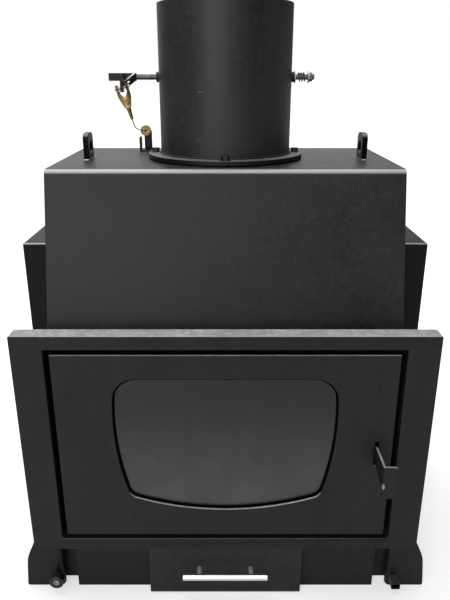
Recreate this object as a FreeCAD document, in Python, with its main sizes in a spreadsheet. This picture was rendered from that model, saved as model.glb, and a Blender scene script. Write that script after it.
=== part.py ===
"""A boiler fireplace insert of welded steel plate, as a parametric FreeCAD document.

Millimetres, +X to the viewer's right, +Y away from the viewer, +Z up, floor at Z = 0.
Depths in the functions below are counted from the surround frame's front plane.
"""
import FreeCAD, Part
import math
import os
import re
import Sketcher

SIZES = {
    # surround frame and front plate
    "frame_width": 700, "frame_height": 424, "frame_depth": 30, "frame_bottom": 114,
    "side_band": 54, "end_band": 24, "frame_corner": 3, "plate": 5,
    "front_plate_margin": 2, "mouth_height": 282, "mouth_bottom": 190,
    # door, window and seal
    "door_gap": 9.5, "door_plate": 5, "window_margin": 106,
    "window_half": "=frame_width / 2 - side_band - window_margin", "window_bottom": 202, "window_top": 461,
    "mouth_overlap": 15, "mouth_width": "=2 * (window_half + mouth_overlap)", "window_widest": 385,
    "side_bow": 525, "bottom_bow": 500, "top_corner": 40, "low_corner": 22,
    "gasket_lip": 2.5, "gasket_thickness": 4, "glass_margin": 11, "glass_thickness": 4,
    "seal_frame_gap": 5, "seal_frame_width": 20, "seal_frame_depth": 16, "seal_width": 10,
    "seal_clearance": 0.3, "clip_width": 40, "clip_reach": 16, "clip_spacing": 180,
    # hinges
    "hinge_inset": 9, "hinge_depth": 15, "hinge_pin_radius": 4, "running_clearance": 0.05,
    "hinge_lug_half": 8, "hinge_lug_back": 6, "hinge_lug_length": 40, "hinge_lug_margin": 20,
    "hinge_bracket_half": 7, "hinge_bracket_front": 6, "hinge_bracket_length": 8, "hinge_gap": 0.3,
    # latch
    "latch_inset": 36, "latch_x": "=frame_width / 2 - side_band - latch_inset", "latch_plate": 4,
    "latch_reach": 58, "latch_depth": 14, "latch_height": 318,
    "latch_pin_radius": 4, "latch_slot_width": 7, "latch_slot_bottom": 293, "latch_slot_top": 342,
    "tab_width": 25, "tab_bottom": 270, "latch_top": 331, "keeper_slot_width": 12,
    "keeper_slot_bottom": 294, "keeper_slot_top": 326, "hook_lift": 8, "hook_gap": 0.6, "hook_length": 5,
    "latch_eye_radius": 8, "tail_height": 10,
    # casing
    "casing_half": 312, "casing_depth": 490, "casing_sheet": 4, "casing_top": 779,
    "casing_low_front": 90, "casing_high_front": 165, "casing_bend": 14,
    "floor_plate": 6,
    # firebox and smoke passes
    "firebox_half": 240, "firebox_depth": 420, "crown_height": 500, "smoke_room": 79,
    "tube_plate_front": 156, "tube_radius": 25, "tube_wall": 3, "tube_pitch_x": 80, "tube_pitch_y": 90,
    "tube_first_depth": 250, "brick": 30, "brick_height": 320, "brick_front": 60, "baffle_front": 120,
    "grate_width": 240, "grate_length": 220, "grate_depth": 230, "grate_height": 20, "grate_slot": 12,
    "grate_pitch": 24, "grate_rim": 15,
    # side jackets and skids
    "jacket_half": 383, "jacket_front": 222, "jacket_top": 633, "jacket_sheet": 4, "jacket_edge": 5,
    "skid_width": 49, "skid_inner": "=jacket_half - skid_width", "skid_front": 30, "skid_shoulder": 68,
    "skid_inset": 28, "skid_top_half": "=jacket_half - skid_inset", "skid_bend": 80, "skid_sheet": 4,
    "skid_edge": 9, "skid_lean": 6, "skid_corner": 5, "wing_width": 23,
    # ash housing and drawer
    "control_room": 50, "ash_half": "=skid_inner - control_room", "ash_front": 30, "ash_depth": 440,
    "ash_sheet": 4, "ash_mouth_half": 132,
    "ash_mouth_bottom": 8, "ash_mouth_top": 98, "drawer_half": 142.5, "drawer_front": 11,
    "drawer_bottom": 2, "drawer_top": 110, "drawer_sheet": 3, "drawer_gap": 0.3, "pan_half": 126,
    "pan_bottom": 12, "pan_top": 92, "pan_wall": 2, "pan_back": 400, "runner_width": 14,
    "bar_length": 156, "bar_radius": 6, "bar_height": 60, "bar_standoff": 23, "post_spacing": 96,
    "post_radius": 4.5,
    # flue and damper
    "flue_depth": 335, "flue_radius": 125, "flue_wall": 4, "flue_rise": 273, "flange_radius": 149,
    "flange_thickness": 8, "gasket": 2, "bolt_circle": 272, "bolt_radius": 5, "bolt_head": 7,
    "bolt_head_height": 8, "socket_wall": 3, "socket_depth": 70,
    "shaft_rise": 148, "shaft_radius": 5, "shaft_left": 168, "shaft_right": 168, "bush_radius": 9.3,
    "bush_length": 5, "disc_radius": 117, "disc_thickness": 3, "strap_width": 16, "strap_thickness": 3,
    "strap_offset": 60,
    # damper crank, fork and cable
    "crank_length": 52, "crank_height": 14, "crank_thickness": 8, "arm_length": 32, "arm_slope": 36,
    "arm_width": 13, "arm_thickness": 5, "arm_turn": 35, "arm_hole": 3, "crank_lug": 5,
    "crank_lug_width": 16, "fork_drop": 19, "fork_shift": 26, "fork_forward": 15, "fork_tilt": 16,
    "fork_pin_radius": 2.5, "prong_width": 13, "fork_round": 26,
    "prong_spread": 24, "prong_length": 44, "prong_thickness": 5, "fork_neck": 21,
    "fork_foot": 5.5, "fork_crotch": 7, "barrel_radius": 4.5,
    "barrel_length": 22, "cable_radius": 1, "cable_clearance": 0.6,
    # friction spring
    "spring_radius": 7.3, "spring_wire": 1.25, "spring_turns": 3, "spring_pitch": 4.6, "spring_bend": 2.5,
    "washer_radius": 11, "washer_thickness": 2, "nut_radius": 8, "nut_length": 6,
    # cable guide on the top plate, and sheath
    "guide_x": 168, "guide_depth": 448, "guide_rise": 41, "guide_flange": 11, "guide_hub": 6,
    "guide_hub_length": 12, "guide_flange_length": 6, "bracket_width": 24, "bracket_plate": 3,
    "sheath_radius": 3, "sheath_stand_off": 4.3, "sheath_turn_height": 260, "sheath_low_height": 130,
    "cable_lead": 18, "cable_straight": 9, "cable_near_rise": 13, "cable_far_rise": 6,
    # pull rod and air slide
    "rod_offset": 35, "rod_height": 30, "rod_radius": 4, "rod_front": 24, "rod_back": 380,
    "knob_radius": 13.5, "knob_length": 20, "knob_screw_radius": 5.5, "knob_rim": 2, "guide_plate": 4,
    "guide_half_height": 12,
    "guide_front": 54, "guide_back": 300, "sheath_stop": 425, "guide_margin": 10,
    "air_offset": 39, "air_height": 20, "air_half_width": 8, "air_half_height": 6, "air_wall": 1.5,
    "air_front": 5, "air_back": 290, "air_fit": 0.3, "shutter_front": 110, "shutter_length": 150,
    "shutter_height": 60, "shutter_bottom": 12, "shutter_plate": 3, "air_slot_length": 24,
    "air_slot_height": 30, "air_slot_bottom": 30, "air_slot_pitch": 60, "air_slot_first": 170,
    "air_link_length": 16,
    # lugs and water sockets
    "lug_x": 263, "lug_front": 285, "lug_width": 48, "lug_height": 49, "lug_plate": 10, "lug_hole": 12,
    "lug_eye": 21.5, "lug_corner": 13,
    "socket_radius": 21, "socket_bore": 15.15, "socket_length": 30, "socket_wall_hole": 18,
    "flow_x": 250, "return_x": 60, "return_height": 180,
}

doc = FreeCAD.newDocument("boiler_fireplace")
sheet = doc.addObject("Spreadsheet::Sheet", "Sizes")
for row, (alias, size) in enumerate(SIZES.items(), start=1):
    sheet.set("A%d" % row, alias)
    sheet.set("B%d" % row, str(size))
    sheet.setAlias("B%d" % row, alias)
doc.recompute()

# The frame's front plane lies so that the whole insert is centred on the origin from front to back.
FRONT = "((latch_reach - casing_depth - socket_length) / 2)"

X_AXIS = FreeCAD.Vector(1, 0, 0)
Y_AXIS = FreeCAD.Vector(0, 1, 0)
Z_AXIS = FreeCAD.Vector(0, 0, 1)
NODES = []


def linked(text):
    """Turn the size names in an expression into references to the sheet's cells."""
    return re.sub(r"[a-z][a-z_]*", lambda word: "Sizes." + word.group(0), text)


def number(alias):
    """Give one driving size as a plain number, for shapes that Part's own functions make."""
    return float(sheet.get(alias))


def depth(text):
    """Turn a depth behind the frame's front plane into a Y expression."""
    return "%s + (%s)" % (FRONT, text)


def bind(item, **expressions):
    """Bind an object's properties to expressions of the sheet's sizes."""
    for name, text in expressions.items():
        item.setExpression(name, linked(text))
    return item


def place(item, x, y, z):
    """Bind an object's place to three expressions."""
    for axis, text in zip("xyz", (x, y, z)):
        item.setExpression("Placement.Base." + axis, linked(text))
    return item


def node(item, label):
    """Register a finished sub-part under the name of its file."""
    item.Label = label
    NODES.append(item)
    return item


def local_block(name, x_span, y_span, z_span):
    """Make a box between expression pairs."""
    item = doc.addObject("Part::Box", name)
    sides = [("Length", x_span), ("Width", y_span), ("Height", z_span)]
    for prop, (low, high) in sides:
        item.setExpression(prop, linked("(%s) - (%s)" % (high, low)))
    return place(item, x_span[0], y_span[0], z_span[0])


def block(name, x_span, d_span, z_span):
    """Make a box between expression pairs, the second pair being depths."""
    return local_block(name, x_span, (depth(d_span[0]), depth(d_span[1])), z_span)


def rod(name, axis, radius, length, x, d, z):
    """Make a cylinder of an axis direction that starts at a place."""
    item = doc.addObject("Part::Cylinder", name)
    item.Placement = FreeCAD.Placement(FreeCAD.Vector(), FreeCAD.Rotation(Z_AXIS, axis))
    bind(item, Radius=radius, Height=length)
    return place(item, x, depth(d), z)


def joined(name, *items):
    """Fuse pieces into one solid."""
    item = doc.addObject("Part::MultiFuse", name)
    item.Shapes = list(items)
    item.Refine = True
    return item


def group(name, *items):
    """Hold separate solids in one object."""
    item = doc.addObject("Part::Compound", name)
    item.Links = list(items)
    return item


def cut(name, base, *tools):
    """Cut one or more pieces out of a base piece."""
    item = doc.addObject("Part::Cut", name)
    item.Base = base
    item.Tool = tools[0] if len(tools) == 1 else joined(name + "_tools", *tools)
    return item


def tube(name, axis, outer, inner, length, x, d, z):
    """Make a straight tube or ring."""
    bore = rod(name + "_bore", axis, inner, length, x, d, z)
    return cut(name, rod(name + "_outside", axis, outer, length, x, d, z), bore)


def both(text):
    """Give the pair of expressions that lie a half width each side of the middle."""
    return "-(%s)" % text, "%s" % text


def outline(body, name, role, points):
    """Draw a closed outline of straight lines, with each corner bound to the sheet."""
    sketch = body.newObject("Sketcher::SketchObject", name)
    plane = [item for item in body.Origin.OriginFeatures if item.Role == role][0]
    sketch.AttachmentSupport = [(plane, "")]
    sketch.MapMode = "FlatFace"
    count = len(points)
    ring = [FreeCAD.Vector(math.cos(math.tau * i / count), math.sin(math.tau * i / count), 0)
            for i in range(count)]
    for i in range(count):
        sketch.addGeometry(Part.LineSegment(ring[i], ring[(i + 1) % count]), False)
    for i in range(count):
        sketch.addConstraint(Sketcher.Constraint("Coincident", i, 2, (i + 1) % count, 1))
    for i, corner in enumerate(points):
        for kind, text in zip(("DistanceX", "DistanceY"), corner):
            index = sketch.addConstraint(Sketcher.Constraint(kind, -1, 1, i, 1, 1.0))
            constraint = "%s_%d" % (kind, i)
            sketch.renameConstraint(index, constraint)
            sketch.setExpression("Constraints." + constraint, linked(text))
    return sketch


def rectangle(body, name, role, low, high):
    """Draw a rectangle between two corners."""
    corners = [low, (high[0], low[1]), high, (low[0], high[1])]
    return outline(body, name, role, corners)


def pad(body, sketch, length, away=True, middle=False):
    """Pad an outline; away runs along +Y from the XZ plane and along +X from the YZ plane."""
    feature = body.newObject("PartDesign::Pad", sketch.Name + "_pad")
    feature.Profile = sketch
    feature.Midplane = middle
    feature.Reversed = away and sketch.AttachmentSupport[0][0].Role == "XZ_Plane"
    feature.setExpression("Length", linked(length))
    doc.recompute()
    return feature


def pocket(body, sketch, length=None, along=True):
    """Cut an outline out of a body, right through or to a depth."""
    before = body.Shape.Volume
    feature = body.newObject("PartDesign::Pocket", sketch.Name + "_pocket")
    feature.Profile = sketch
    if length is None:
        feature.Type = 1
        feature.Midplane = True
    else:
        feature.setExpression("Length", linked(length))
        feature.Reversed = along
    doc.recompute()
    if not body.Shape.Volume < before:
        raise RuntimeError("%s cuts nothing" % feature.Name)
    return feature


def shift_sketch(sketch, text):
    """Move an outline along its plane's normal."""
    sketch.setExpression("AttachmentOffset.Base.z", linked(text))


def edges_where(item, test):
    """Name the edges of a feature whose middle point passes a test."""
    found = []
    for index, edge in enumerate(item.Shape.Edges, start=1):
        middle = edge.valueAt((edge.FirstParameter + edge.LastParameter) / 2)
        if test(edge, middle):
            found.append("Edge%d" % index)
    return found


def fillet(body, feature, names, radius):
    """Round the named edges of a body's feature."""
    rounding = body.newObject("PartDesign::Fillet", feature.Name + "_round")
    rounding.Base = (feature, names)
    rounding.setExpression("Radius", linked(radius))
    doc.recompute()
    return rounding


def runs_along(edge, axis):
    """Say whether a straight edge lies along an axis."""
    if not isinstance(edge.Curve, Part.Line):
        return False
    return abs(abs(edge.Curve.Direction.dot(axis)) - 1) < 1e-6


# Shared places
FRAME_TOP = "(frame_bottom + frame_height)"
OPENING_HALF = "(frame_width / 2 - side_band)"
DOOR_HALF = "(frame_width / 2 - side_band - door_gap)"
DOOR_LOW = "(frame_bottom + end_band + door_gap)"
DOOR_HIGH = "(frame_bottom + frame_height - end_band - door_gap)"
PLATE_BACK = "(frame_depth + plate)"
GLASS_HALF = "(window_half + glass_margin)"
GLASS_LOW = "(window_bottom - glass_margin)"
GLASS_HIGH = "(window_top + glass_margin)"
GLASS_FRONT = "(door_plate + gasket_thickness)"
GLASS_BACK = "(door_plate + gasket_thickness + glass_thickness)"
FLOOR_LOW = "frame_bottom"
FLOOR_HIGH = "(frame_bottom + floor_plate)"
HINGE_X = "(-(frame_width / 2 - side_band - door_gap - hinge_inset))"
GASKET_TOP = "(casing_top + gasket)"
FLANGE_TOP = "(casing_top + gasket + flange_thickness)"
FLUE_TOP = "(casing_top + flue_rise)"
SHAFT_Z = "(casing_top + shaft_rise)"
GUIDE_Z = "(casing_top + guide_rise)"
TUBE_PLATE_Z = "(casing_top - smoke_room)"
KNEE = "(crown_height + plate)"
ROD_X = "(-(ash_half + rod_offset))"
AIR_X = "(ash_half + air_offset)"


def surround_frame():
    """The flat-bar frame round the door."""
    body = doc.addObject("PartDesign::Body", "SurroundFrame")
    half = "frame_width / 2"
    face = rectangle(body, "frame_face", "XZ_Plane", ("-" + half, "frame_bottom"), (half, FRAME_TOP))
    bar = pad(body, face, "frame_depth")
    corner = number("frame_width") / 2 - 1
    names = edges_where(bar, lambda edge, mid: runs_along(edge, Y_AXIS) and abs(mid.x) > corner)
    fillet(body, bar, names, "frame_corner")
    hole = rectangle(body, "frame_hole", "XZ_Plane", ("-" + OPENING_HALF, "frame_bottom + end_band"),
                     (OPENING_HALF, FRAME_TOP + " - end_band"))
    pocket(body, hole)
    node(place(body, "0", FRONT, "0"), "surround_frame")


def front_plate():
    """The plate behind the frame, with the firebox mouth and the latch hook's slot."""
    half = "(frame_width / 2 - front_plate_margin)"
    sheet_block = block("front_sheet", both(half), ("frame_depth", PLATE_BACK),
                        (FLOOR_HIGH, FRAME_TOP + " - front_plate_margin"))
    mouth = block("mouth", both("mouth_width / 2"), ("frame_depth", PLATE_BACK),
                  ("mouth_bottom", "mouth_bottom + mouth_height"))
    slot = block("keeper_slot", ("latch_x - keeper_slot_width / 2", "latch_x + keeper_slot_width / 2"),
                 ("frame_depth", PLATE_BACK), ("keeper_slot_bottom", "keeper_slot_top"))
    node(cut("FrontPlate", sheet_block, mouth, slot), "front_plate")


def window_solid(name, extra, d_low, d_high):
    """The window's outline as a solid: flat top, bowed sides and bottom, rounded corners."""
    length = "(%s) - (%s)" % (d_high, d_low)
    span = both("window_half * 2")
    slab = block(name + "_slab", span, (d_low, d_high), ("0", "window_top + (%s)" % extra))
    bow = "(side_bow + (%s))" % extra
    left = rod(name + "_left", Y_AXIS, bow, length, "side_bow - window_half", d_low, "window_widest")
    right = rod(name + "_right", Y_AXIS, bow, length, "window_half - side_bow", d_low, "window_widest")
    low = rod(name + "_low", Y_AXIS, "bottom_bow + (%s)" % extra, length, "0", d_low,
              "window_bottom + bottom_bow")
    common = doc.addObject("Part::MultiCommon", name + "_common")
    common.Shapes = [slab, left, right, low]
    doc.recompute()
    rounded = doc.addObject("Part::Fillet", name)
    rounded.Base = common
    middle = number("window_widest")
    edges = []
    for index, edge in enumerate(common.Shape.Edges, start=1):
        if runs_along(edge, Y_AXIS):
            high = edge.Vertexes[0].Point.z > middle
            radius = number("top_corner") if high else number("low_corner")
            edges.append((index, radius, radius))
    rounded.Edges = edges
    doc.recompute()
    return rounded


def door_panel():
    """The door plate with its window and the slot for the latch lever."""
    body_plate = block("door_sheet", both(DOOR_HALF), ("0", "door_plate"), (DOOR_LOW, DOOR_HIGH))
    window = window_solid("WindowHole", "0", "0", "door_plate")
    slot = block("latch_slot", ("latch_x - latch_slot_width / 2", "latch_x + latch_slot_width / 2"),
                 ("0", "door_plate"), ("latch_slot_bottom", "latch_slot_top"))
    node(cut("DoorPanel", body_plate, window, slot), "door_panel")


def window_glazing():
    """Gasket, glass and the clips that hold them."""
    sheet_block = block("gasket_sheet", both(GLASS_HALF), ("door_plate", GLASS_FRONT),
                        (GLASS_LOW, GLASS_HIGH))
    hole = window_solid("GasketHole", "-gasket_lip", "door_plate", GLASS_FRONT)
    node(cut("GlassGasket", sheet_block, hole), "glass_gasket")
    node(block("DoorGlass", both(GLASS_HALF), (GLASS_FRONT, GLASS_BACK), (GLASS_LOW, GLASS_HIGH)),
         "door_glass")
    inner = "(%s + seal_frame_gap)" % GLASS_HALF
    clips = []
    centre = "(window_bottom + window_top) / 2"
    for side, sign in (("left", "-"), ("right", "")):
        low, high = ("%s(%s - clip_reach)" % (sign, inner), "%s%s" % (sign, inner))
        span = (high, low) if sign else (low, high)
        for level, offset in (("low", "- clip_spacing / 2"), ("high", "+ clip_spacing / 2")):
            middle = "(%s %s)" % (centre, offset)
            clips.append(block("clip_%s_%s" % (side, level), span,
                               (GLASS_BACK, "door_plate + seal_frame_depth"),
                               (middle + " - clip_width / 2", middle + " + clip_width / 2")))
    node(group("GlassClips", *clips), "glass_clips")


def seal_ring(name, inset_low, inset_high, d_span):
    """A rectangular ring round the glass between two distances from its edge."""
    outer = block(name + "_outer", both("%s + (%s)" % (GLASS_HALF, inset_high)), d_span,
                  ("%s - (%s)" % (GLASS_LOW, inset_high), "%s + (%s)" % (GLASS_HIGH, inset_high)))
    inner = block(name + "_inner", both("%s + (%s)" % (GLASS_HALF, inset_low)), d_span,
                  ("%s - (%s)" % (GLASS_LOW, inset_low), "%s + (%s)" % (GLASS_HIGH, inset_low)))
    return cut(name, outer, inner)


def door_seal():
    """The door's back frame and the rope seal that closes on the front plate."""
    frame_back = "(door_plate + seal_frame_depth)"
    node(seal_ring("DoorBackFrame", "seal_frame_gap", "seal_frame_gap + seal_frame_width",
                   ("door_plate", frame_back)), "door_back_frame")
    middle = "seal_frame_gap + seal_frame_width / 2"
    node(seal_ring("DoorRopeSeal", middle + " - seal_width / 2", middle + " + seal_width / 2",
                   (frame_back, "frame_depth - seal_clearance")), "door_rope_seal")


def hinges():
    """Lift-off hinges: lugs on the door over pins that stand in brackets on the front plate."""
    lugs, pins, brackets = [], [], []
    x_lug = (HINGE_X + " - hinge_lug_half", HINGE_X + " + hinge_lug_half")
    x_bracket = (HINGE_X + " - hinge_bracket_half", HINGE_X + " + hinge_bracket_half")
    levels = (("low", "(%s + hinge_lug_margin)" % DOOR_LOW),
              ("high", "(%s - hinge_lug_margin - hinge_lug_length)" % DOOR_HIGH))
    for level, bottom in levels:
        solid = block("lug_" + level, x_lug, ("door_plate", "hinge_depth + hinge_lug_back"),
                      (bottom, bottom + " + hinge_lug_length"))
        hole = rod("lug_hole_" + level, Z_AXIS, "hinge_pin_radius + running_clearance",
                   "hinge_lug_length", HINGE_X, "hinge_depth", bottom)
        lugs.append(cut("hinge_lug_" + level, solid, hole))
        foot = "(%s - hinge_gap - hinge_bracket_length)" % bottom
        arm = block("bracket_" + level, x_bracket, ("hinge_depth - hinge_bracket_front", "frame_depth"),
                    (foot, bottom + " - hinge_gap"))
        seat = rod("bracket_hole_" + level, Z_AXIS, "hinge_pin_radius + running_clearance",
                   "hinge_bracket_length", HINGE_X, "hinge_depth", foot)
        brackets.append(cut("hinge_bracket_" + level, arm, seat))
        pins.append(rod("hinge_pin_" + level, Z_AXIS, "hinge_pin_radius",
                        "hinge_bracket_length + hinge_gap + hinge_lug_length", HINGE_X, "hinge_depth", foot))
    node(group("HingeLugs", *lugs), "hinge_lugs")
    node(group("HingeBrackets", *brackets), "hinge_brackets")
    node(group("HingePins", *pins), "hinge_pins")


def latch():
    """The lift latch: a bent flat bar on a stud behind the door, with a hook behind the front plate."""
    body = doc.addObject("PartDesign::Body", "LatchLever")
    tab_front = "-latch_reach"
    hook_front = "(%s + hook_gap)" % PLATE_BACK
    hook_back = "(%s + hook_gap + hook_length)" % PLATE_BACK
    tail_top = "(latch_height - latch_pin_radius + tail_height)"
    tail_low = "(latch_height - latch_pin_radius - hook_gap)"
    eye_back = "(latch_depth + latch_eye_radius)"
    points = [(tab_front, "tab_bottom + latch_eye_radius * 2"), ("0", "latch_height - latch_eye_radius * 2"),
              ("latch_depth", "latch_height - latch_eye_radius"), (eye_back, tail_low),
              (hook_back, tail_low),
              (hook_back, "keeper_slot_top + hook_lift"), (hook_front, "keeper_slot_top + hook_lift"),
              (hook_front, tail_top + " - latch_plate"), (eye_back, tail_top + " - latch_plate"),
              ("latch_depth", "latch_height + latch_eye_radius"), ("0", "latch_top"),
              (tab_front, "latch_top")]
    side = outline(body, "lever_side", "YZ_Plane", points)
    pad(body, side, "latch_plate", middle=True)
    tab = rectangle(body, "lever_tab", "XZ_Plane", ("-latch_plate / 2", "tab_bottom"),
                    ("tab_width - latch_plate / 2", "latch_top"))
    shift_sketch(tab, "latch_reach")
    doc.recompute()
    pad(body, tab, "latch_plate")
    right = number("tab_width") - number("latch_plate") / 2 - 0.5
    tip = body.Tip
    names = edges_where(tip, lambda edge, mid: runs_along(edge, Y_AXIS) and mid.x > right)
    fillet(body, tip, names, "latch_plate * 1.5")
    eye = body.newObject("Sketcher::SketchObject", "lever_eye")
    plane = [item for item in body.Origin.OriginFeatures if item.Role == "YZ_Plane"][0]
    eye.AttachmentSupport = [(plane, "")]
    eye.MapMode = "FlatFace"
    start = FreeCAD.Vector(number("latch_depth"), number("latch_height"), 0)
    eye.addGeometry(Part.Circle(start, Z_AXIS, number("latch_pin_radius")), False)
    values = (("Radius", (0,), "latch_pin_radius + running_clearance"),
              ("DistanceX", (-1, 1, 0, 3), "latch_depth"), ("DistanceY", (-1, 1, 0, 3), "latch_height"))
    for kind, where, text in values:
        index = eye.addConstraint(Sketcher.Constraint(kind, *where, 1.0))
        eye.renameConstraint(index, "eye_" + kind)
        eye.setExpression("Constraints.eye_" + kind, linked(text))
    doc.recompute()
    pocket(body, eye)
    node(place(body, "latch_x", FRONT, "0"), "latch_lever")
    base_high = "(latch_x - latch_plate / 2 - hook_gap)"
    base = block("latch_base", (base_high + " - latch_eye_radius", base_high),
                 ("door_plate", "latch_depth + latch_pin_radius"),
                 ("latch_height - latch_eye_radius", "latch_height + latch_eye_radius"))
    stud = rod("latch_stud", X_AXIS, "latch_pin_radius", "latch_eye_radius + latch_plate + hook_gap * 3",
               base_high + " - latch_eye_radius", "latch_depth", "latch_height")
    node(joined("LatchPivot", base, stud), "latch_pivot")


def casing():
    """The boiler's outer shell: a bent front and top sheet over a wrap of sides and back."""
    body = doc.addObject("PartDesign::Body", "CasingFrontTop")
    points = [("casing_low_front", KNEE), ("casing_high_front", "casing_top"),
              ("casing_depth", "casing_top"), ("casing_depth", "casing_top - casing_sheet"),
              ("casing_high_front + casing_sheet * 0.75", "casing_top - casing_sheet"),
              ("casing_low_front + casing_sheet", KNEE)]
    side = outline(body, "casing_side", "YZ_Plane", points)
    sheet_pad = pad(body, side, "casing_half * 2", middle=True)
    top = number("casing_top")
    names = edges_where(sheet_pad, lambda edge, mid: runs_along(edge, X_AXIS) and mid.z > top - 0.1
                        and mid.y < number("casing_high_front") + 0.1)
    fillet(body, sheet_pad, names, "casing_bend")
    place(body, "0", FRONT, "0")
    hole = rod("flue_hole", Z_AXIS, "flue_radius - flue_wall", "casing_sheet * 2", "0", "flue_depth",
               "casing_top - casing_sheet * 1.5")
    node(cut("CasingFrontTopCut", body, hole), "casing_front_top")

    inner = "(casing_half - casing_sheet)"
    shell = doc.addObject("PartDesign::Body", "CasingWrap")
    slope = "((casing_high_front - casing_low_front) / (casing_top - %s))" % KNEE
    high = "(casing_top - casing_sheet)"
    front = "(casing_low_front + casing_sheet * 1.25)"
    profile = [(front, FLOOR_LOW), (front, KNEE), (front + " + (%s - %s) * %s" % (high, KNEE, slope), high),
               ("casing_depth", high), ("casing_depth", FLOOR_LOW)]
    pad(shell, outline(shell, "wrap_side", "YZ_Plane", profile), "casing_half * 2", middle=True)
    room = rectangle(shell, "wrap_room", "XY_Plane", ("-" + inner, "0"),
                     (inner, "casing_depth - casing_sheet"))
    pocket(shell, room)
    place(shell, "0", FRONT, "0")
    holes = [rod("wall_hole_%d" % i, Y_AXIS, "socket_wall_hole", "casing_sheet * 2", x,
                 "casing_depth - casing_sheet * 1.5", z) for i, (x, z) in enumerate(SOCKET_PLACES)]
    returns = []
    for side, span in (("left", ("-casing_half", "-firebox_half")),
                       ("right", ("firebox_half", "casing_half"))):
        returns.append(block("casing_return_" + side, span, ("casing_low_front", front), (FLOOR_HIGH, KNEE)))
    drilled = cut("casing_drilled", shell, *holes)
    node(joined("CasingWrapWhole", drilled, *returns), "casing_wrap")


SOCKET_PLACES = [("-flow_x", TUBE_PLATE_Z), ("flow_x", TUBE_PLATE_Z),
                 ("-return_x", "return_height"), ("return_x", "return_height")]


def water_sockets():
    """Threaded sockets for flow and return on the back."""
    rings = [tube("socket_%d" % i, Y_AXIS, "socket_radius", "socket_bore", "socket_length", x,
                  "casing_depth", z) for i, (x, z) in enumerate(SOCKET_PLACES)]
    node(group("WaterSockets", *rings), "water_sockets")


def firebox():
    """Floor, walls, crown, smoke tubes, upper tube plate, bricks and baffle."""
    inner = "(casing_half - casing_sheet)"
    slab = block("floor_slab", both(inner), (PLATE_BACK, "casing_depth - casing_sheet"),
                 (FLOOR_LOW, FLOOR_HIGH))
    ash_hole = block("ash_hole", both("grate_width / 2 - grate_rim"),
                     ("grate_depth - grate_length / 2 + grate_rim",
                      "grate_depth + grate_length / 2 - grate_rim"), (FLOOR_LOW, FLOOR_HIGH))
    node(cut("FireboxFloor", slab, ash_hole), "firebox_floor")

    shell = block("firebox_outside", both("firebox_half"), (PLATE_BACK, "firebox_depth"),
                  (FLOOR_HIGH, "crown_height"))
    room = block("firebox_room", both("firebox_half - plate"), (PLATE_BACK, "firebox_depth - plate"),
                 (FLOOR_HIGH, "crown_height"))
    node(cut("FireboxWrap", shell, room), "firebox_wrap")

    places = [("%d * tube_pitch_x" % column, "tube_first_depth + %d * tube_pitch_y" % line)
              for line in range(2) for column in range(-2, 3)]
    bore = "tube_radius - tube_wall"
    crown = block("crown_slab", both("firebox_half"), (PLATE_BACK, "firebox_depth"),
                  ("crown_height", "crown_height + plate"))
    low_holes = [rod("crown_hole_%d" % i, Z_AXIS, bore, "plate", x, d, "crown_height")
                 for i, (x, d) in enumerate(places)]
    node(cut("CrownPlate", crown, *low_holes), "crown_plate")
    upper = block("tube_slab", both(inner), ("tube_plate_front", "casing_depth - casing_sheet"),
                  (TUBE_PLATE_Z, TUBE_PLATE_Z + " + plate"))
    high_holes = [rod("tube_hole_%d" % i, Z_AXIS, bore, "plate", x, d, TUBE_PLATE_Z)
                  for i, (x, d) in enumerate(places)]
    node(cut("TubePlate", upper, *high_holes), "tube_plate")
    tubes = [tube("fire_tube_%d" % i, Z_AXIS, "tube_radius", bore, TUBE_PLATE_Z + " - crown_height - plate",
                  x, d, "crown_height + plate") for i, (x, d) in enumerate(places)]
    node(group("FireTubes", *tubes), "fire_tubes")

    wall = "(firebox_half - plate)"
    brick_span = (FLOOR_HIGH, FLOOR_HIGH + " + brick_height")
    bricks = [block("brick_left", ("-" + wall, "-(firebox_half - plate - brick)"),
                    ("brick_front", "firebox_depth - plate"), brick_span),
              block("brick_right", ("(firebox_half - plate - brick)", wall),
                    ("brick_front", "firebox_depth - plate"), brick_span),
              block("brick_back", both("(firebox_half - plate - brick)"),
                    ("firebox_depth - plate - brick", "firebox_depth - plate"), brick_span)]
    node(group("FireBricks", *bricks), "fire_bricks")
    node(block("BafflePlate", both("firebox_half - plate"), ("baffle_front", "firebox_depth - plate"),
               (FLOOR_HIGH + " + brick_height", FLOOR_HIGH + " + brick_height + brick")), "baffle_plate")

    body = doc.addObject("PartDesign::Body", "Grate")
    base = rectangle(body, "grate_face", "XY_Plane", ("-grate_width / 2", "-grate_length / 2"),
                     ("grate_width / 2", "grate_length / 2"))
    pad(body, base, "grate_height")
    first = "(-grate_width / 2 + grate_rim)"
    gap = rectangle(body, "grate_gap", "XY_Plane", (first, "-grate_length / 2 + grate_rim"),
                    (first + " + grate_slot", "grate_length / 2 - grate_rim"))
    opening = pocket(body, gap)
    pattern = body.newObject("PartDesign::LinearPattern", "grate_gaps")
    pattern.Originals = [opening]
    pattern.Direction = (gap, ["H_Axis"])
    pattern.Mode = "Spacing"
    pattern.setExpression("Offset", linked("grate_pitch"))
    count = linked("floor((grate_width - grate_rim * 2 - grate_slot) / grate_pitch) + 1")
    pattern.setExpression("Occurrences", count.replace("Sizes.floor", "floor"))
    body.Tip = pattern
    doc.recompute()
    node(place(body, "0", depth("grate_depth"), FLOOR_HIGH), "grate")


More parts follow.
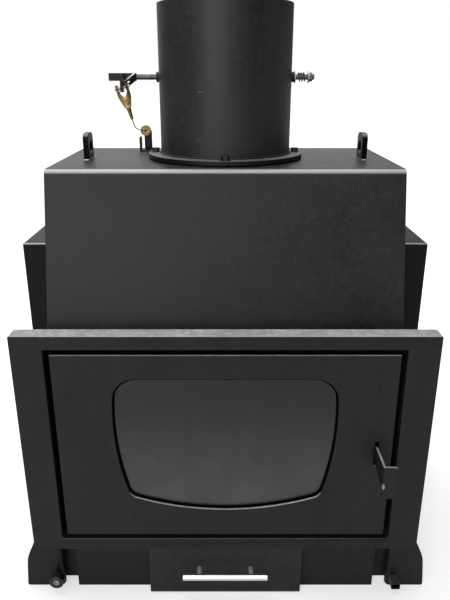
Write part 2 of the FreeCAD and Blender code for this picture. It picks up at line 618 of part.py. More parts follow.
def side_jacket(side, sign):
    """A side jacket: a pressed box, open towards the casing."""
    body = doc.addObject("PartDesign::Body", "SideJacket" + side.title())
    low, high = "jacket_front", "casing_depth"
    face = rectangle(body, "jacket_face_" + side, "YZ_Plane", (low, FLOOR_LOW), (high, "jacket_top"))
    box = pad(body, face, "jacket_half - casing_half")
    outer = number("jacket_half") - number("casing_half") - 0.1
    front = number("jacket_front") + 0.1
    names = edges_where(box, lambda edge, mid: mid.z > number("frame_bottom") + 1 and (
        (runs_along(edge, Z_AXIS) and mid.x > outer and mid.y < front)
        or (mid.z > number("jacket_top") - 0.1 and (mid.x > outer or mid.y < front))))
    fillet(body, box, names, "jacket_edge")
    room = rectangle(body, "jacket_room_" + side, "YZ_Plane",
                     (low + " + jacket_sheet", FLOOR_LOW + " + jacket_sheet"),
                     (high + " - jacket_sheet", "jacket_top - jacket_sheet"))
    pocket(body, room, "jacket_half - casing_half - jacket_sheet", along=True)
    place(body, "casing_half", FRONT, "0")
    return mirrored_if(body, side, sign, "side_jacket_")


def mirrored_if(body, side, sign, label):
    """Register a right-hand body, or its mirror image for the left-hand one."""
    if sign > 0:
        return node(body, label + side)
    mirror = doc.addObject("Part::Mirroring", body.Name + "Mirror")
    mirror.Source = body
    mirror.Normal = X_AXIS
    return node(mirror, label + side)


def skid(side, sign):
    """A foot that runs back as a skid, with a bent outer side."""
    body = doc.addObject("PartDesign::Body", "Skid" + side.title())
    profile = [("skid_inner", "0"), ("jacket_half", "0"), ("jacket_half - skid_lean", "skid_shoulder"),
               ("skid_top_half", FLOOR_LOW), ("skid_inner", FLOOR_LOW)]
    face = outline(body, "skid_face_" + side, "XZ_Plane", profile)
    box = pad(body, face, "casing_depth - skid_front")
    shoulder = number("skid_shoulder")
    bend = edges_where(box, lambda edge, mid: runs_along(edge, Y_AXIS) and abs(mid.z - shoulder) < 0.1)
    bent = fillet(body, box, bend, "skid_bend")
    outer = number("jacket_half")
    low_edge = edges_where(bent, lambda edge, mid: runs_along(edge, Y_AXIS)
                           and mid.z < 0.1 and abs(mid.x - outer) < 0.1)
    fillet(body, bent, low_edge, "skid_corner")
    room = [("skid_inner + skid_sheet", "skid_sheet"),
            ("jacket_half - skid_sheet - skid_lean", "skid_sheet"),
            ("jacket_half - skid_sheet - skid_lean", "skid_shoulder - skid_bend / 4"),
            ("skid_top_half - skid_sheet", FLOOR_LOW + " - skid_sheet"),
            ("skid_inner + skid_sheet", FLOOR_LOW + " - skid_sheet")]
    hollow = outline(body, "skid_room_" + side, "XZ_Plane", room)
    shift_sketch(hollow, "-skid_edge - skid_sheet")
    doc.recompute()
    pocket(body, hollow, "casing_depth - skid_front", along=False)
    place(body, "0", depth("skid_front"), "0")
    return mirrored_if(body, side, sign, "skid_")


def ash_housing():
    """The ash housing under the grate, its front plate and the drawer's runners."""
    outside = block("ash_outside", both("ash_half"), ("ash_front + ash_sheet", "ash_depth"),
                    ("0", FLOOR_LOW))
    room = block("ash_room", both("ash_half - ash_sheet"),
                 ("ash_front + ash_sheet", "ash_depth - ash_sheet"), ("ash_sheet", FLOOR_LOW))
    slots = [block("air_slot_%d" % i, ("ash_half - ash_sheet", "ash_half"),
                   ("air_slot_first + %d * air_slot_pitch" % i,
                    "air_slot_first + %d * air_slot_pitch + air_slot_length" % i),
                   ("air_slot_bottom", "air_slot_bottom + air_slot_height")) for i in range(2)]
    node(cut("AshHousing", outside, room, *slots), "ash_housing")
    front = block("ash_front_sheet", both("ash_half"), ("ash_front", "ash_front + ash_sheet"),
                  ("0", FLOOR_LOW))
    mouth = block("ash_mouth", both("ash_mouth_half"), ("ash_front", "ash_front + ash_sheet"),
                  ("ash_mouth_bottom", "ash_mouth_top"))
    node(cut("AshFront", front, mouth), "ash_front")
    rails = []
    for side, span in (("left", ("-pan_half", "-(pan_half - runner_width)")),
                       ("right", ("pan_half - runner_width", "pan_half"))):
        rails.append(block("runner_" + side, span, ("ash_front + ash_sheet", "pan_back"),
                           ("ash_sheet", "pan_bottom - drawer_gap")))
    node(group("DrawerRunners", *rails), "drawer_runners")


def ash_drawer():
    """The drawer's folded front, its ash pan and the bar handle."""
    body = doc.addObject("PartDesign::Body", "DrawerFront")
    face = rectangle(body, "drawer_face", "XZ_Plane", ("-drawer_half", "drawer_bottom"),
                     ("drawer_half", "drawer_top"))
    pad(body, face, "ash_front - drawer_gap - drawer_front")
    room = rectangle(body, "drawer_room", "XZ_Plane",
                     ("-(drawer_half - drawer_sheet)", "drawer_bottom + drawer_sheet"),
                     ("drawer_half - drawer_sheet", "drawer_top - drawer_sheet"))
    shift_sketch(room, "-drawer_sheet")
    doc.recompute()
    pocket(body, room, "ash_front - drawer_front", along=False)
    node(place(body, "0", depth("drawer_front"), "0"), "drawer_front")
    front = "(drawer_front + drawer_sheet)"
    outside = block("pan_outside", both("pan_half"), (front, "pan_back"), ("pan_bottom", "pan_top"))
    inside = block("pan_inside", both("pan_half - pan_wall"), (front + " + pan_wall", "pan_back - pan_wall"),
                   ("pan_bottom + pan_wall", "pan_top"))
    node(cut("AshPan", outside, inside), "ash_pan")
    bar_d = "(drawer_front - bar_standoff)"
    node(rod("HandleBar", X_AXIS, "bar_radius", "bar_length", "-bar_length / 2", bar_d, "bar_height"),
         "handle_bar")
    seat = rod("bar_seat", X_AXIS, "bar_radius + running_clearance", "bar_length", "-bar_length / 2", bar_d,
               "bar_height")
    posts = []
    for side, x in (("left", "-post_spacing / 2"), ("right", "post_spacing / 2")):
        stem = rod("post_rod_" + side, Y_AXIS, "post_radius", "bar_standoff", x, bar_d, "bar_height")
        posts.append(cut("post_" + side, stem, seat))
    node(group("HandlePosts", *posts), "handle_posts")


def flue():
    """Flue pipe with a socket mouth, flange, gasket, bolts and shaft bushes."""
    height = "(" + FLUE_TOP + " - casing_top - gasket - flange_thickness)"
    bore = "flue_radius - flue_wall"
    pipe = tube("flue_tube", Z_AXIS, "flue_radius", bore, height, "0", "flue_depth", FLANGE_TOP)
    socket = rod("flue_socket", Z_AXIS, "flue_radius - socket_wall", "socket_depth", "0", "flue_depth",
                 FLUE_TOP + " - socket_depth")
    cross = rod("shaft_hole", X_AXIS, "bush_radius - flue_wall", "flue_radius * 2", "-flue_radius",
                "flue_depth", SHAFT_Z)
    node(cut("FluePipe", pipe, socket, cross), "flue_pipe")
    plain = tube("flange_ring", Z_AXIS, "flange_radius", bore, "flange_thickness", "0", "flue_depth",
                 GASKET_TOP)
    places = [("bolt_circle / 2 * %d" % x, "flue_depth + bolt_circle / 2 * %d" % d)
              for x, d in ((1, 0), (0, 1), (-1, 0), (0, -1))]
    holes = [rod("flange_hole_%d" % i, Z_AXIS, "bolt_radius", "flange_thickness", x, d, GASKET_TOP)
             for i, (x, d) in enumerate(places)]
    node(cut("FlueFlange", plain, *holes), "flue_flange")
    node(tube("FlangeGasket", Z_AXIS, "flange_radius", bore, "gasket", "0", "flue_depth", "casing_top"),
         "flange_gasket")
    bolts = []
    for i, (x, d) in enumerate(places):
        head = doc.addObject("Part::Prism", "bolt_head_%d" % i)
        head.Polygon = 6
        bind(head, Circumradius="bolt_head", Height="bolt_head_height")
        place(head, x, depth(d), FLANGE_TOP)
        shank = rod("bolt_shank_%d" % i, Z_AXIS, "bolt_radius - running_clearance * 4",
                    "flange_thickness", x, d, GASKET_TOP)
        bolts.append(joined("flange_bolt_%d" % i, head, shank))
    node(group("FlangeBolts", *bolts), "flange_bolts")
    saddle = rod("bush_saddle", Z_AXIS, "flue_radius + running_clearance", "bush_radius * 4", "0",
                 "flue_depth", SHAFT_Z + " - bush_radius * 2")
    bushes = []
    for side, x in (("left", "-(flue_radius + bush_length)"), ("right", "flue_radius - flue_wall")):
        ring = tube("bush_ring_" + side, X_AXIS, "bush_radius", "shaft_radius + running_clearance",
                    "bush_length + flue_wall", x, "flue_depth", SHAFT_Z)
        bushes.append(cut("bush_" + side, ring, saddle))
    node(group("DamperBushes", *bushes), "damper_bushes")


def damper():
    """Damper disc on its shaft, the crank at the left end and the friction end at the right."""
    node(rod("DamperShaft", X_AXIS, "shaft_radius", "shaft_left + shaft_right", "-shaft_left", "flue_depth",
             SHAFT_Z), "damper_shaft")
    disc_low = "(" + SHAFT_Z + " + shaft_radius)"
    node(rod("DamperDisc", Z_AXIS, "disc_radius", "disc_thickness", "0", "flue_depth", disc_low),
         "damper_disc")
    saddles = []
    reach = "(shaft_radius + strap_thickness)"
    for side, x in (("left", "-strap_offset"), ("right", "strap_offset")):
        strap = block("strap_block_" + side, (x + " - strap_width / 2", x + " + strap_width / 2"),
                      ("flue_depth - " + reach, "flue_depth + " + reach),
                      (SHAFT_Z + " - " + reach, disc_low))
        hollow = rod("strap_hole_" + side, X_AXIS, "shaft_radius + running_clearance", "strap_width",
                     x + " - strap_width / 2", "flue_depth", SHAFT_Z)
        saddles.append(cut("damper_saddle_" + side, strap, hollow))
    node(group("DamperSaddles", *saddles), "damper_saddles")

    bar = block("crank_bar", ("-shaft_left - crank_length", "-shaft_left"),
                ("flue_depth - crank_thickness / 2", "flue_depth + crank_thickness / 2"),
                (SHAFT_Z + " - crank_height / 2", SHAFT_Z + " + crank_height / 2"))
    arm = doc.addObject("Part::Box", "crank_arm")
    turn = FreeCAD.Rotation(Y_AXIS, 90 - number("arm_slope")) * FreeCAD.Rotation(Z_AXIS, number("arm_turn"))
    across, through, along = (turn.multVec(way) for way in (X_AXIS, Y_AXIS, Z_AXIS))
    arm.Placement = FreeCAD.Placement(FreeCAD.Vector(), turn)
    bind(arm, Length="arm_width", Width="arm_thickness", Height="arm_length")
    arm_top = "(" + SHAFT_Z + " + crank_height / 2)"
    foot = ("-shaft_left - arm_length * %.6f" % along.x,
            depth("flue_depth - crank_thickness / 2 - arm_thickness"),
            arm_top + " - arm_length * %.6f" % along.z)
    place(arm, *foot)
    hole = doc.addObject("Part::Cylinder", "crank_hole")
    hole.Placement = FreeCAD.Placement(FreeCAD.Vector(), FreeCAD.Rotation(Z_AXIS, through))
    bind(hole, Radius="arm_hole", Height="arm_thickness * 3")
    place(hole, *["%s + arm_width / 2 * %.6f + arm_length / 3 * %.6f - arm_thickness * %.6f"
                  % (start, half, rise, back)
                  for start, half, rise, back in zip(foot, across, along, through)])
    trim = block("crank_trim", ("-shaft_left", "-shaft_left + arm_length"),
                 ("flue_depth - arm_length", "flue_depth + arm_length"),
                 (SHAFT_Z + " - arm_length", SHAFT_Z + " + arm_length"))
    lug = block("crank_lug_plate", (PIN_X + " - crank_lug / 2", PIN_X + " + crank_lug / 2"),
                (PIN_DEPTH + " - crank_lug_width / 2", "flue_depth - crank_thickness / 2"),
                (PIN_Z + " - crank_lug_width / 2", arm_top))
    pin_hole = rod("crank_pin_hole", X_AXIS, "fork_pin_radius + crank_lug / 5", "crank_lug",
                   PIN_X + " - crank_lug / 2", PIN_DEPTH, PIN_Z)
    node(cut("DamperCrank", joined("crank_whole", bar, arm, lug), hole, pin_hole, trim), "damper_crank")


PIN_X = "(-shaft_left - fork_shift)"
PIN_DEPTH = "(flue_depth - fork_forward)"
PIN_Z = "(" + SHAFT_Z + " - fork_drop)"


def cable_fork():
    """The brass fork on the crank's pin, drawn upright round the pin and then tilted as it hangs."""
    half = "prong_spread / 2"
    low, high = "(prong_width / 2 - prong_length)", "prong_width / 2"
    inside = "(%s - prong_thickness)" % half
    waist = "(prong_width / 2 - prong_length + fork_neck)"
    profile = [("-" + half, high), ("-" + half, waist), ("-fork_foot", low), ("fork_foot", low),
               (half, waist), (half, high), (inside, high), (inside, waist + " + fork_crotch"),
               ("fork_foot / 2", waist), ("-fork_foot / 2", waist), ("-" + inside, waist + " + fork_crotch"),
               ("-" + inside, high)]
    yoke = doc.addObject("PartDesign::Body", "fork_yoke")
    pad(yoke, outline(yoke, "fork_outline", "XZ_Plane", profile), "prong_width", middle=True)
    forged = [yoke]
    for side, way in (("front", ""), ("back", "-")):
        curve = doc.addObject("Part::Cylinder", "fork_curve_" + side)
        bind(curve, Radius="fork_round", Height="prong_length")
        forged.append(place(curve, "0", way + "(fork_round - prong_width / 2)", low))
    rounded = doc.addObject("Part::MultiCommon", "fork_rounded")
    rounded.Shapes = forged
    barrel = doc.addObject("Part::Cone", "fork_barrel")
    bind(barrel, Radius1="barrel_radius * 0.6", Radius2="barrel_radius", Height="barrel_length")
    place(barrel, "0", "0", low + " - barrel_length")
    pin_hole = doc.addObject("Part::Cylinder", "fork_pin_hole")
    pin_hole.Placement = FreeCAD.Placement(FreeCAD.Vector(), FreeCAD.Rotation(Z_AXIS, X_AXIS))
    bind(pin_hole, Radius="fork_pin_radius + running_clearance", Height="prong_spread")
    place(pin_hole, "-" + half, "0", "0")
    bore = doc.addObject("Part::Cylinder", "barrel_bore")
    bind(bore, Radius="cable_radius + running_clearance", Height="barrel_length / 2")
    place(bore, "0", "0", low + " - barrel_length")
    fork = cut("CableFork", joined("fork_whole", rounded, barrel), pin_hole, bore)
    tilt = FreeCAD.Rotation(Y_AXIS, -number("fork_tilt"))
    fork.Placement = FreeCAD.Placement(FreeCAD.Vector(), tilt)
    node(place(fork, PIN_X, depth(PIN_DEPTH), PIN_Z), "cable_fork")
    pin = doc.addObject("Part::Cylinder", "ForkPin")
    way = tilt.multVec(X_AXIS)
    pin.Placement = FreeCAD.Placement(FreeCAD.Vector(), FreeCAD.Rotation(Z_AXIS, way))
    length = "(prong_spread + crank_lug)"
    bind(pin, Radius="fork_pin_radius", Height=length)
    node(place(pin, PIN_X + " - %s / 2 * %.6f" % (length, way.x), depth(PIN_DEPTH),
               PIN_Z + " - %s / 2 * %.6f" % (length, way.z)), "fork_pin")


def friction_end():
    """Washers and nut that hold the friction spring on the shaft's right end."""
    start = "(flue_radius + bush_length + hinge_gap)"
    span = "(spring_turns * spring_pitch + spring_bend * 2 + spring_wire * 4)"
    bore = "shaft_radius + running_clearance"
    rings = [tube("washer_%d" % i, X_AXIS, "washer_radius", bore, "washer_thickness", x, "flue_depth",
                  SHAFT_Z) for i, x in enumerate((start, "%s + washer_thickness + %s" % (start, span)))]
    node(group("SpringWashers", *rings), "spring_washers")
    nut = doc.addObject("Part::Prism", "nut_prism")
    nut.Polygon = 6
    nut.Placement = FreeCAD.Placement(FreeCAD.Vector(), FreeCAD.Rotation(Z_AXIS, X_AXIS))
    bind(nut, Circumradius="nut_radius", Height="nut_length")
    nut_x = "%s + washer_thickness * 2 + %s" % (start, span)
    place(nut, nut_x, depth("flue_depth"), SHAFT_Z)
    hole = rod("nut_hole", X_AXIS, bore, "nut_length", nut_x, "flue_depth", SHAFT_Z)
    node(cut("ShaftNut", nut, hole), "shaft_nut")


def arc_from(start, direction, end):
    """Give the arc that leaves a point in a direction and ends at another point."""
    chord = end - start
    side = chord - direction * chord.dot(direction)
    if side.Length < 1e-9:
        return Part.LineSegment(start, end)
    side.normalize()
    radius = chord.dot(chord) / (2 * chord.dot(side))
    centre = start + side * radius
    middle = (start - centre) + (end - centre)
    middle.normalize()
    return Part.Arc(start, centre + middle * radius, end)


def biarc(start, start_way, end, end_way):
    """Give the two arcs that join two points with their directions."""
    chord = end - start
    ways = start_way + end_way
    turn = 2 * (1 - start_way.dot(end_way))
    reach = (-chord.dot(ways) + math.sqrt(chord.dot(ways) ** 2 + turn * chord.dot(chord))) / turn
    joint = (start + start_way * reach + end - end_way * reach) * 0.5
    first = arc_from(start, start_way, joint)
    second = arc_from(end, end_way * -1, joint)
    return [first, second]


def swept(path_curves, radius, start, way):
    """Sweep a round section along joined curves as one tube."""
    edges = [curve.toShape() for curve in path_curves]
    path = Part.Wire(Part.__sortEdges__(edges))
    section = Part.Wire(Part.Circle(start, way, radius).toShape())
    shell = Part.BRepOffsetAPI.MakePipeShell(path)
    shell.add(section)
    shell.build()
    shell.makeSolid()
    return shell.shape(), path


def friction_spring():
    """The open coil spring: one unbroken wire with both ends turned square to the washers."""
    coil = number("spring_radius")
    wire = number("spring_wire")
    turns = number("spring_turns")
    pitch = number("spring_pitch")
    bend = number("spring_bend")
    first = (number("flue_radius") + number("bush_length") + number("hinge_gap")
             + number("washer_thickness") + wire * 2 + bend)
    rise = pitch / math.tau

    def point(angle):
        return FreeCAD.Vector(first + rise * angle, coil * math.cos(angle), coil * math.sin(angle))

    def heading(angle):
        way = FreeCAD.Vector(rise, -coil * math.sin(angle), coil * math.cos(angle))
        return way.normalize()

    def turned_end(place_at, way, axis):
        """Curves of an end: a bend from the wire's direction to the axis, then a straight run."""
        side = axis - way * axis.dot(way)
        side.normalize()
        sweep_angle = math.acos(way.dot(axis))
        centre = place_at + side * bend
        at = [centre - side * (bend * math.cos(a)) + way * (bend * math.sin(a))
              for a in (sweep_angle / 2, sweep_angle)]
        return [Part.Arc(place_at, at[0], at[1])], at[1]

    quarters = int(round(turns * 4))
    curves = []
    for i in range(quarters):
        low, high = i * math.pi / 2, (i + 1) * math.pi / 2
        curves += biarc(point(low), heading(low), point(high), heading(high))
    last = quarters * math.pi / 2
    left_bend, left_end = turned_end(point(0), heading(0) * -1, X_AXIS * -1)
    right_bend, right_end = turned_end(point(last), heading(last), X_AXIS)
    left_tip = FreeCAD.Vector(first - bend - wire * 2, left_end.y, left_end.z)
    right_tip = FreeCAD.Vector(first + rise * last + bend + wire * 2, right_end.y, right_end.z)
    curves = ([Part.LineSegment(left_tip, left_end)] + left_bend + curves + right_bend
              + [Part.LineSegment(right_end, right_tip)])
    solid, path = swept(curves, wire, left_tip, X_AXIS)
    samples = path.discretize(Number=400)
    step = path.Length / 399
    away = int(math.ceil(math.tau * coil * 0.5 / step))
    least = min((samples[i] - samples[j]).Length for i in range(400) for j in range(i + away, 400))
    print("friction spring: least gap to itself %.2f mm" % (least - wire * 2))
    spring = doc.addObject("Part::Feature", "FrictionSpring")
    spring.Shape = solid
    middle = FreeCAD.Vector(0, front_plane() + number("flue_depth"),
                            number("casing_top") + number("shaft_rise"))
    spring.Placement = FreeCAD.Placement(middle, FreeCAD.Rotation())
    node(spring, "friction_spring")


def front_plane():
    """The Y of the frame's front plane as a number."""
    return (number("latch_reach") - number("casing_depth") - number("socket_length")) / 2


def rounded_route(points, share):
    """Straight runs joined by tangent arcs; share is how much of the shorter run an arc takes."""
    curves = []
    start = points[0]
    for i in range(1, len(points) - 1):
        before = points[i] - points[i - 1]
        after = points[i + 1] - points[i]
        turn = before.getAngle(after)
        setback = share * min(before.Length, after.Length)
        enter = points[i] - before.normalize() * setback
        leave = points[i] + after.normalize() * setback
        print("route bend radius %.1f mm" % (setback / math.tan(turn / 2)))
        if (enter - start).Length > 1e-6:
            curves.append(Part.LineSegment(start, enter))
        curves.append(arc_from(enter, before, leave))
        start = leave
    curves.append(Part.LineSegment(start, points[-1]))
    return curves


def tube_along(name, label, points, radius, share=0.45, bore=0.0):
    """Make a round tube along a route and compare its volume with section times length."""
    curves = rounded_route(points, share)
    way = points[1] - points[0]
    solid, path = swept(curves, radius, points[0], way)
    area = math.pi * radius ** 2
    if bore:
        solid = solid.cut(swept(curves, bore, points[0], way)[0])
        area -= math.pi * bore ** 2
    print("%s: volume over section times length %.4f" % (label, solid.Volume / (area * path.Length)))
    item = doc.addObject("Part::Feature", name)
    item.Shape = solid
    return node(item, label)


def control_cable():
    """The damper cable from the fork's barrel to the guide on the top plate, and its sheath."""
    front = front_plane()
    tilt = FreeCAD.Rotation(Y_AXIS, -number("fork_tilt"))
    down = tilt.multVec(Z_AXIS * -1)
    pin = FreeCAD.Vector(-number("shaft_left") - number("fork_shift"),
                         front + number("flue_depth") - number("fork_forward"),
                         (number("casing_top") + number("shaft_rise")) - number("fork_drop"))
    reach = number("prong_length") - number("prong_width") / 2 + number("barrel_length")
    guide = FreeCAD.Vector(-number("guide_x"), front + number("guide_depth"),
                           number("casing_top") + number("guide_rise"))
    top = pin + down * reach
    gap = guide - top
    flange = number("guide_flange_length")
    points = [top - down * (number("barrel_length") * 0.4), top + down * number("cable_straight"),
              top + FreeCAD.Vector(gap.x * 0.15, gap.y * 0.2, gap.z + number("cable_near_rise")),
              top + FreeCAD.Vector(gap.x * 0.35, gap.y * 0.55, gap.z + number("cable_far_rise")),
              guide - Y_AXIS * (flange + number("cable_lead")), guide + Y_AXIS * number("guide_hub_length")]
    tube_along("ControlCable", "control_cable", points, number("cable_radius"))
    back = front + number("casing_depth") + number("sheath_stand_off")
    start = guide + Y_AXIS * number("guide_hub_length")
    rod_end = FreeCAD.Vector(-(number("ash_half") + number("rod_offset")),
                             front + number("sheath_stop") + number("guide_plate"), number("rod_height"))
    route = [start, FreeCAD.Vector(guide.x, back, guide.z),
             FreeCAD.Vector(guide.x, back, number("sheath_turn_height")),
             FreeCAD.Vector(rod_end.x, back, number("sheath_low_height")),
             FreeCAD.Vector(rod_end.x, back, rod_end.z), rod_end]
    bore = number("cable_radius") + number("cable_clearance")
    tube_along("CableSheath", "cable_sheath", route, number("sheath_radius"), bore=bore)


def cable_guide():
    """The brass guide bush in its bracket on the top plate."""
    x = "-guide_x"
    bore = "cable_radius + cable_clearance"
    flange = rod("guide_flange_disc", Y_AXIS, "guide_flange", "guide_flange_length", x,
                 "guide_depth - guide_flange_length", GUIDE_Z)
    hub = rod("guide_hub_rod", Y_AXIS, "guide_hub", "guide_hub_length", x, "guide_depth", GUIDE_Z)
    hole = rod("guide_bore", Y_AXIS, bore, "guide_hub_length + guide_flange_length", x,
               "guide_depth - guide_flange_length", GUIDE_Z)
    node(cut("CableGuide", joined("guide_whole", flange, hub), hole), "cable_guide")
    span = ("-guide_x - bracket_width / 2", "-guide_x + bracket_width / 2")
    wall = block("bracket_wall", ("-guide_x - bracket_width / 6", span[1]),
                 ("guide_depth", "guide_depth + bracket_plate"), ("casing_top", GUIDE_Z))
    eye = rod("bracket_eye", Y_AXIS, "guide_flange - bracket_plate / 2", "bracket_plate", x, "guide_depth",
              GUIDE_Z)
    wing = block("bracket_wing", (span[0], span[0] + " + bracket_plate"),
                 ("guide_depth - bracket_width", "guide_depth"),
                 ("casing_top", GUIDE_Z + " - bracket_width / 2"))
    foot = block("bracket_foot", span, ("guide_depth - bracket_width", "guide_depth"),
                 ("casing_top", "casing_top + bracket_plate"))
    seat = rod("bracket_seat", Y_AXIS, "guide_hub + running_clearance", "bracket_plate", x, "guide_depth",
               GUIDE_Z)
    node(cut("CableBracket", joined("bracket_whole", wall, eye, wing, foot), seat), "cable_bracket")


def wing_plate(side, x_span, depth_span):
    """The foot's inner front edge beside a control, rounded towards the drawer."""
    plain = block("wing_block_" + side, x_span, depth_span, ("0", FLOOR_LOW))
    doc.recompute()
    front = front_plane() + number("skid_front")
    edge_x = number("skid_inner") - number("wing_width")
    wing = doc.addObject("Part::Fillet", "wing_round_" + side)
    wing.Base = plain
    size = number("skid_edge")
    wing.Edges = [(i, size, size) for i, edge in enumerate(plain.Shape.Edges, start=1)
                  if runs_along(edge, Z_AXIS) and abs(edge.CenterOfMass.y - front) < 0.1
                  and abs(abs(edge.CenterOfMass.x) - edge_x) < 0.1]
    return wing


def pull_rod():
    """The damper's pull rod with its knob, and the plates that guide it."""
    x = ROD_X
    bar = rod("rod_bar", Y_AXIS, "rod_radius", "rod_back - rod_front", x, "rod_front", "rod_height")
    wire = rod("rod_wire", Y_AXIS, "cable_radius", "sheath_stop - rod_back + guide_plate * 10", x,
               "rod_back", "rod_height")
    node(joined("PullRod", bar, wire), "pull_rod")
    body = rod("knob_body", Y_AXIS, "knob_radius", "knob_length", x, "rod_front - knob_length", "rod_height")
    recess = rod("knob_recess", Y_AXIS, "knob_screw_radius", "knob_length / 3", x, "rod_front - knob_length",
                 "rod_height")
    doc.recompute()
    ball = doc.addObject("Part::Fillet", "knob_round")
    ball.Base = body
    edges = []
    for i, edge in enumerate(body.Shape.Edges, start=1):
        if isinstance(edge.Curve, Part.Circle):
            front = edge.CenterOfMass.y < body.Shape.CenterOfMass.y
            rounding = number("knob_rim") if front else number("knob_length") * 0.4
            edges.append((i, rounding, rounding))
    ball.Edges = edges
    node(cut("PullKnob", ball, recess), "pull_knob")
    head = rod("knob_head", Y_AXIS, "knob_screw_radius - running_clearance",
               "knob_length / 3 - hinge_gap", x, "rod_front - knob_length + hinge_gap", "rod_height")
    socket = rod("knob_socket", Y_AXIS, "knob_screw_radius / 2", "knob_length / 6", x,
                 "rod_front - knob_length + hinge_gap", "rod_height")
    node(cut("KnobScrew", head, socket), "knob_screw")
    plates = []
    for i, (d, hole_radius) in enumerate((("guide_front", "rod_radius + running_clearance"),
                                          ("guide_back", "rod_radius + running_clearance"),
                                          ("sheath_stop", "cable_radius + cable_clearance"))):
        tall = i == 0
        web = block("rod_guide_web_%d" % i,
                    ("-skid_inner" if tall else ROD_X + " - guide_margin", "-ash_half"),
                    (d, d + " + guide_plate"),
                    ("0", FLOOR_LOW) if tall else ("rod_height - guide_half_height",
                                                   "rod_height + guide_half_height"))
        hole = rod("rod_guide_hole_%d" % i, Y_AXIS, hole_radius, "guide_plate", x, d, "rod_height")
        plates.append(cut("rod_guide_%d" % i, web, hole))
    air_hole = (AIR_X + " - air_half_width - air_fit", AIR_X + " + air_half_width + air_fit")
    air_rise = ("air_height - air_half_height - air_fit", "air_height + air_half_height + air_fit")
    for i, d in enumerate(("guide_front", "guide_back - guide_front / 2")):
        tall = i == 0
        web = block("air_guide_web_%d" % i,
                    ("ash_half", "skid_inner" if tall else AIR_X + " + air_half_width + guide_margin / 5"),
                    (d, d + " + guide_plate"),
                    ("0", FLOOR_LOW) if tall else ("air_height - guide_half_height",
                                                   "air_height + guide_half_height"))
        hole = block("air_guide_hole_%d" % i, air_hole, (d, d + " + guide_plate"), air_rise)
        plates.append(cut("air_guide_%d" % i, web, hole))
    wing_depth = ("skid_front", "skid_front + skid_edge + skid_sheet")
    left = wing_plate("left", ("-skid_inner", "wing_width - skid_inner"), wing_depth)
    plates.append(cut("left_wing", left, rod("left_wing_hole", Y_AXIS, "rod_radius + running_clearance",
                                             "skid_edge + skid_sheet", x, "skid_front", "rod_height")))
    right = wing_plate("right", ("skid_inner - wing_width", "skid_inner"), wing_depth)
    plates.append(cut("right_wing", right, block("right_wing_hole", air_hole, wing_depth, air_rise)))
    node(group("RodGuides", *plates), "rod_guides")


def air_slide():
    """The square-tube control rod and the shutter plate it draws along the ash housing."""
    outside = block("air_outside", (AIR_X + " - air_half_width", AIR_X + " + air_half_width"),
                    ("air_front", "air_back"),
                    ("air_height - air_half_height", "air_height + air_half_height"))
    inside = block("air_inside", (AIR_X + " - air_half_width + air_wall",
                                  AIR_X + " + air_half_width - air_wall"),
                   ("air_front", "air_back"),
                   ("air_height - air_half_height + air_wall", "air_height + air_half_height - air_wall"))
    node(cut("AirRod", outside, inside), "air_rod")
    low = "(ash_half + air_fit)"
    sheet_block = block("shutter_sheet", (low, low + " + shutter_plate"),
                        ("shutter_front", "shutter_front + shutter_length"),
                        ("shutter_bottom", "shutter_bottom + shutter_height"))
    slots = [block("shutter_slot_%d" % i, (low, low + " + shutter_plate"),
                   ("air_slot_first + %d * air_slot_pitch + air_slot_length" % i,
                    "air_slot_first + %d * air_slot_pitch + air_slot_length * 2" % i),
                   ("air_slot_bottom", "air_slot_bottom + air_slot_height")) for i in range(2)]
    link = block("shutter_link", (low, AIR_X + " - air_half_width"),
                 ("shutter_front", "shutter_front + air_link_length"),
                 ("air_height - air_half_height", "air_height + air_half_height"))
    node(cut("AirShutter", joined("shutter_whole", sheet_block, link), *slots), "air_shutter")


def lifting_lugs():
    """Two lifting eyes welded to the top plate."""
    lugs = []
    for side, x in (("left", "(-lug_x)"), ("right", "lug_x")):
        span = (x + " - lug_plate / 2", x + " + lug_plate / 2")
        half = "lug_width / 2"
        tall = block("lug_tall_" + side, span,
                     ("lug_front + lug_corner", "lug_front + lug_width - lug_corner"),
                     ("casing_top", "casing_top + lug_height"))
        broad = block("lug_broad_" + side, span, ("lug_front", "lug_front + lug_width"),
                      ("casing_top", "casing_top + lug_height - lug_corner"))
        corners = [rod("lug_corner_%s_%s" % (end, side), X_AXIS, "lug_corner", "lug_plate", span[0], place_d,
                       "casing_top + lug_height - lug_corner")
                   for end, place_d in (("front", "lug_front + lug_corner"),
                                        ("back", "lug_front + lug_width - lug_corner"))]
        eye = rod("lug_eye_" + side, X_AXIS, "lug_hole", "lug_plate", span[0], "lug_front + " + half,
                  "casing_top + lug_eye")
        whole = joined("lug_whole_" + side, tall, broad, *corners)
        lugs.append(cut("lifting_lug_" + side, whole, eye))
    node(group("LiftingLugs", *lugs), "lifting_lugs")


def check_and_write():
    """Stop on any failed object, then write one file for each sub-part."""
    doc.recompute()
    failed = [item.Name for item in doc.Objects if {"Invalid", "Error"} & set(item.State)]
    broken = [item.Label for item in NODES if item.Shape.isNull() or not item.Shape.isValid()]
    if failed or broken:
        raise RuntimeError("failed objects %s, broken sub-parts %s" % (failed, broken))
    os.makedirs("parts", exist_ok=True)
    for item in NODES:
        item.Shape.exportStep("parts/%s.step" % item.Label)
    print("wrote %d sub-parts" % len(NODES))


def main():
    """Build every sub-part and write the files."""
    builders = (surround_frame, front_plate, door_panel, window_glazing, door_seal, hinges, latch, casing,
                water_sockets, firebox, ash_housing, ash_drawer, flue, damper, cable_fork, friction_end,
                friction_spring, control_cable, cable_guide, pull_rod, air_slide, lifting_lugs)
    for build in builders:
        build()
    for side, sign in (("left", -1), ("right", 1)):
        side_jacket(side, sign)
        skid(side, sign)
    check_and_write()


main()
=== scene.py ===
"""Looks of a boiler fireplace insert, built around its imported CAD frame."""

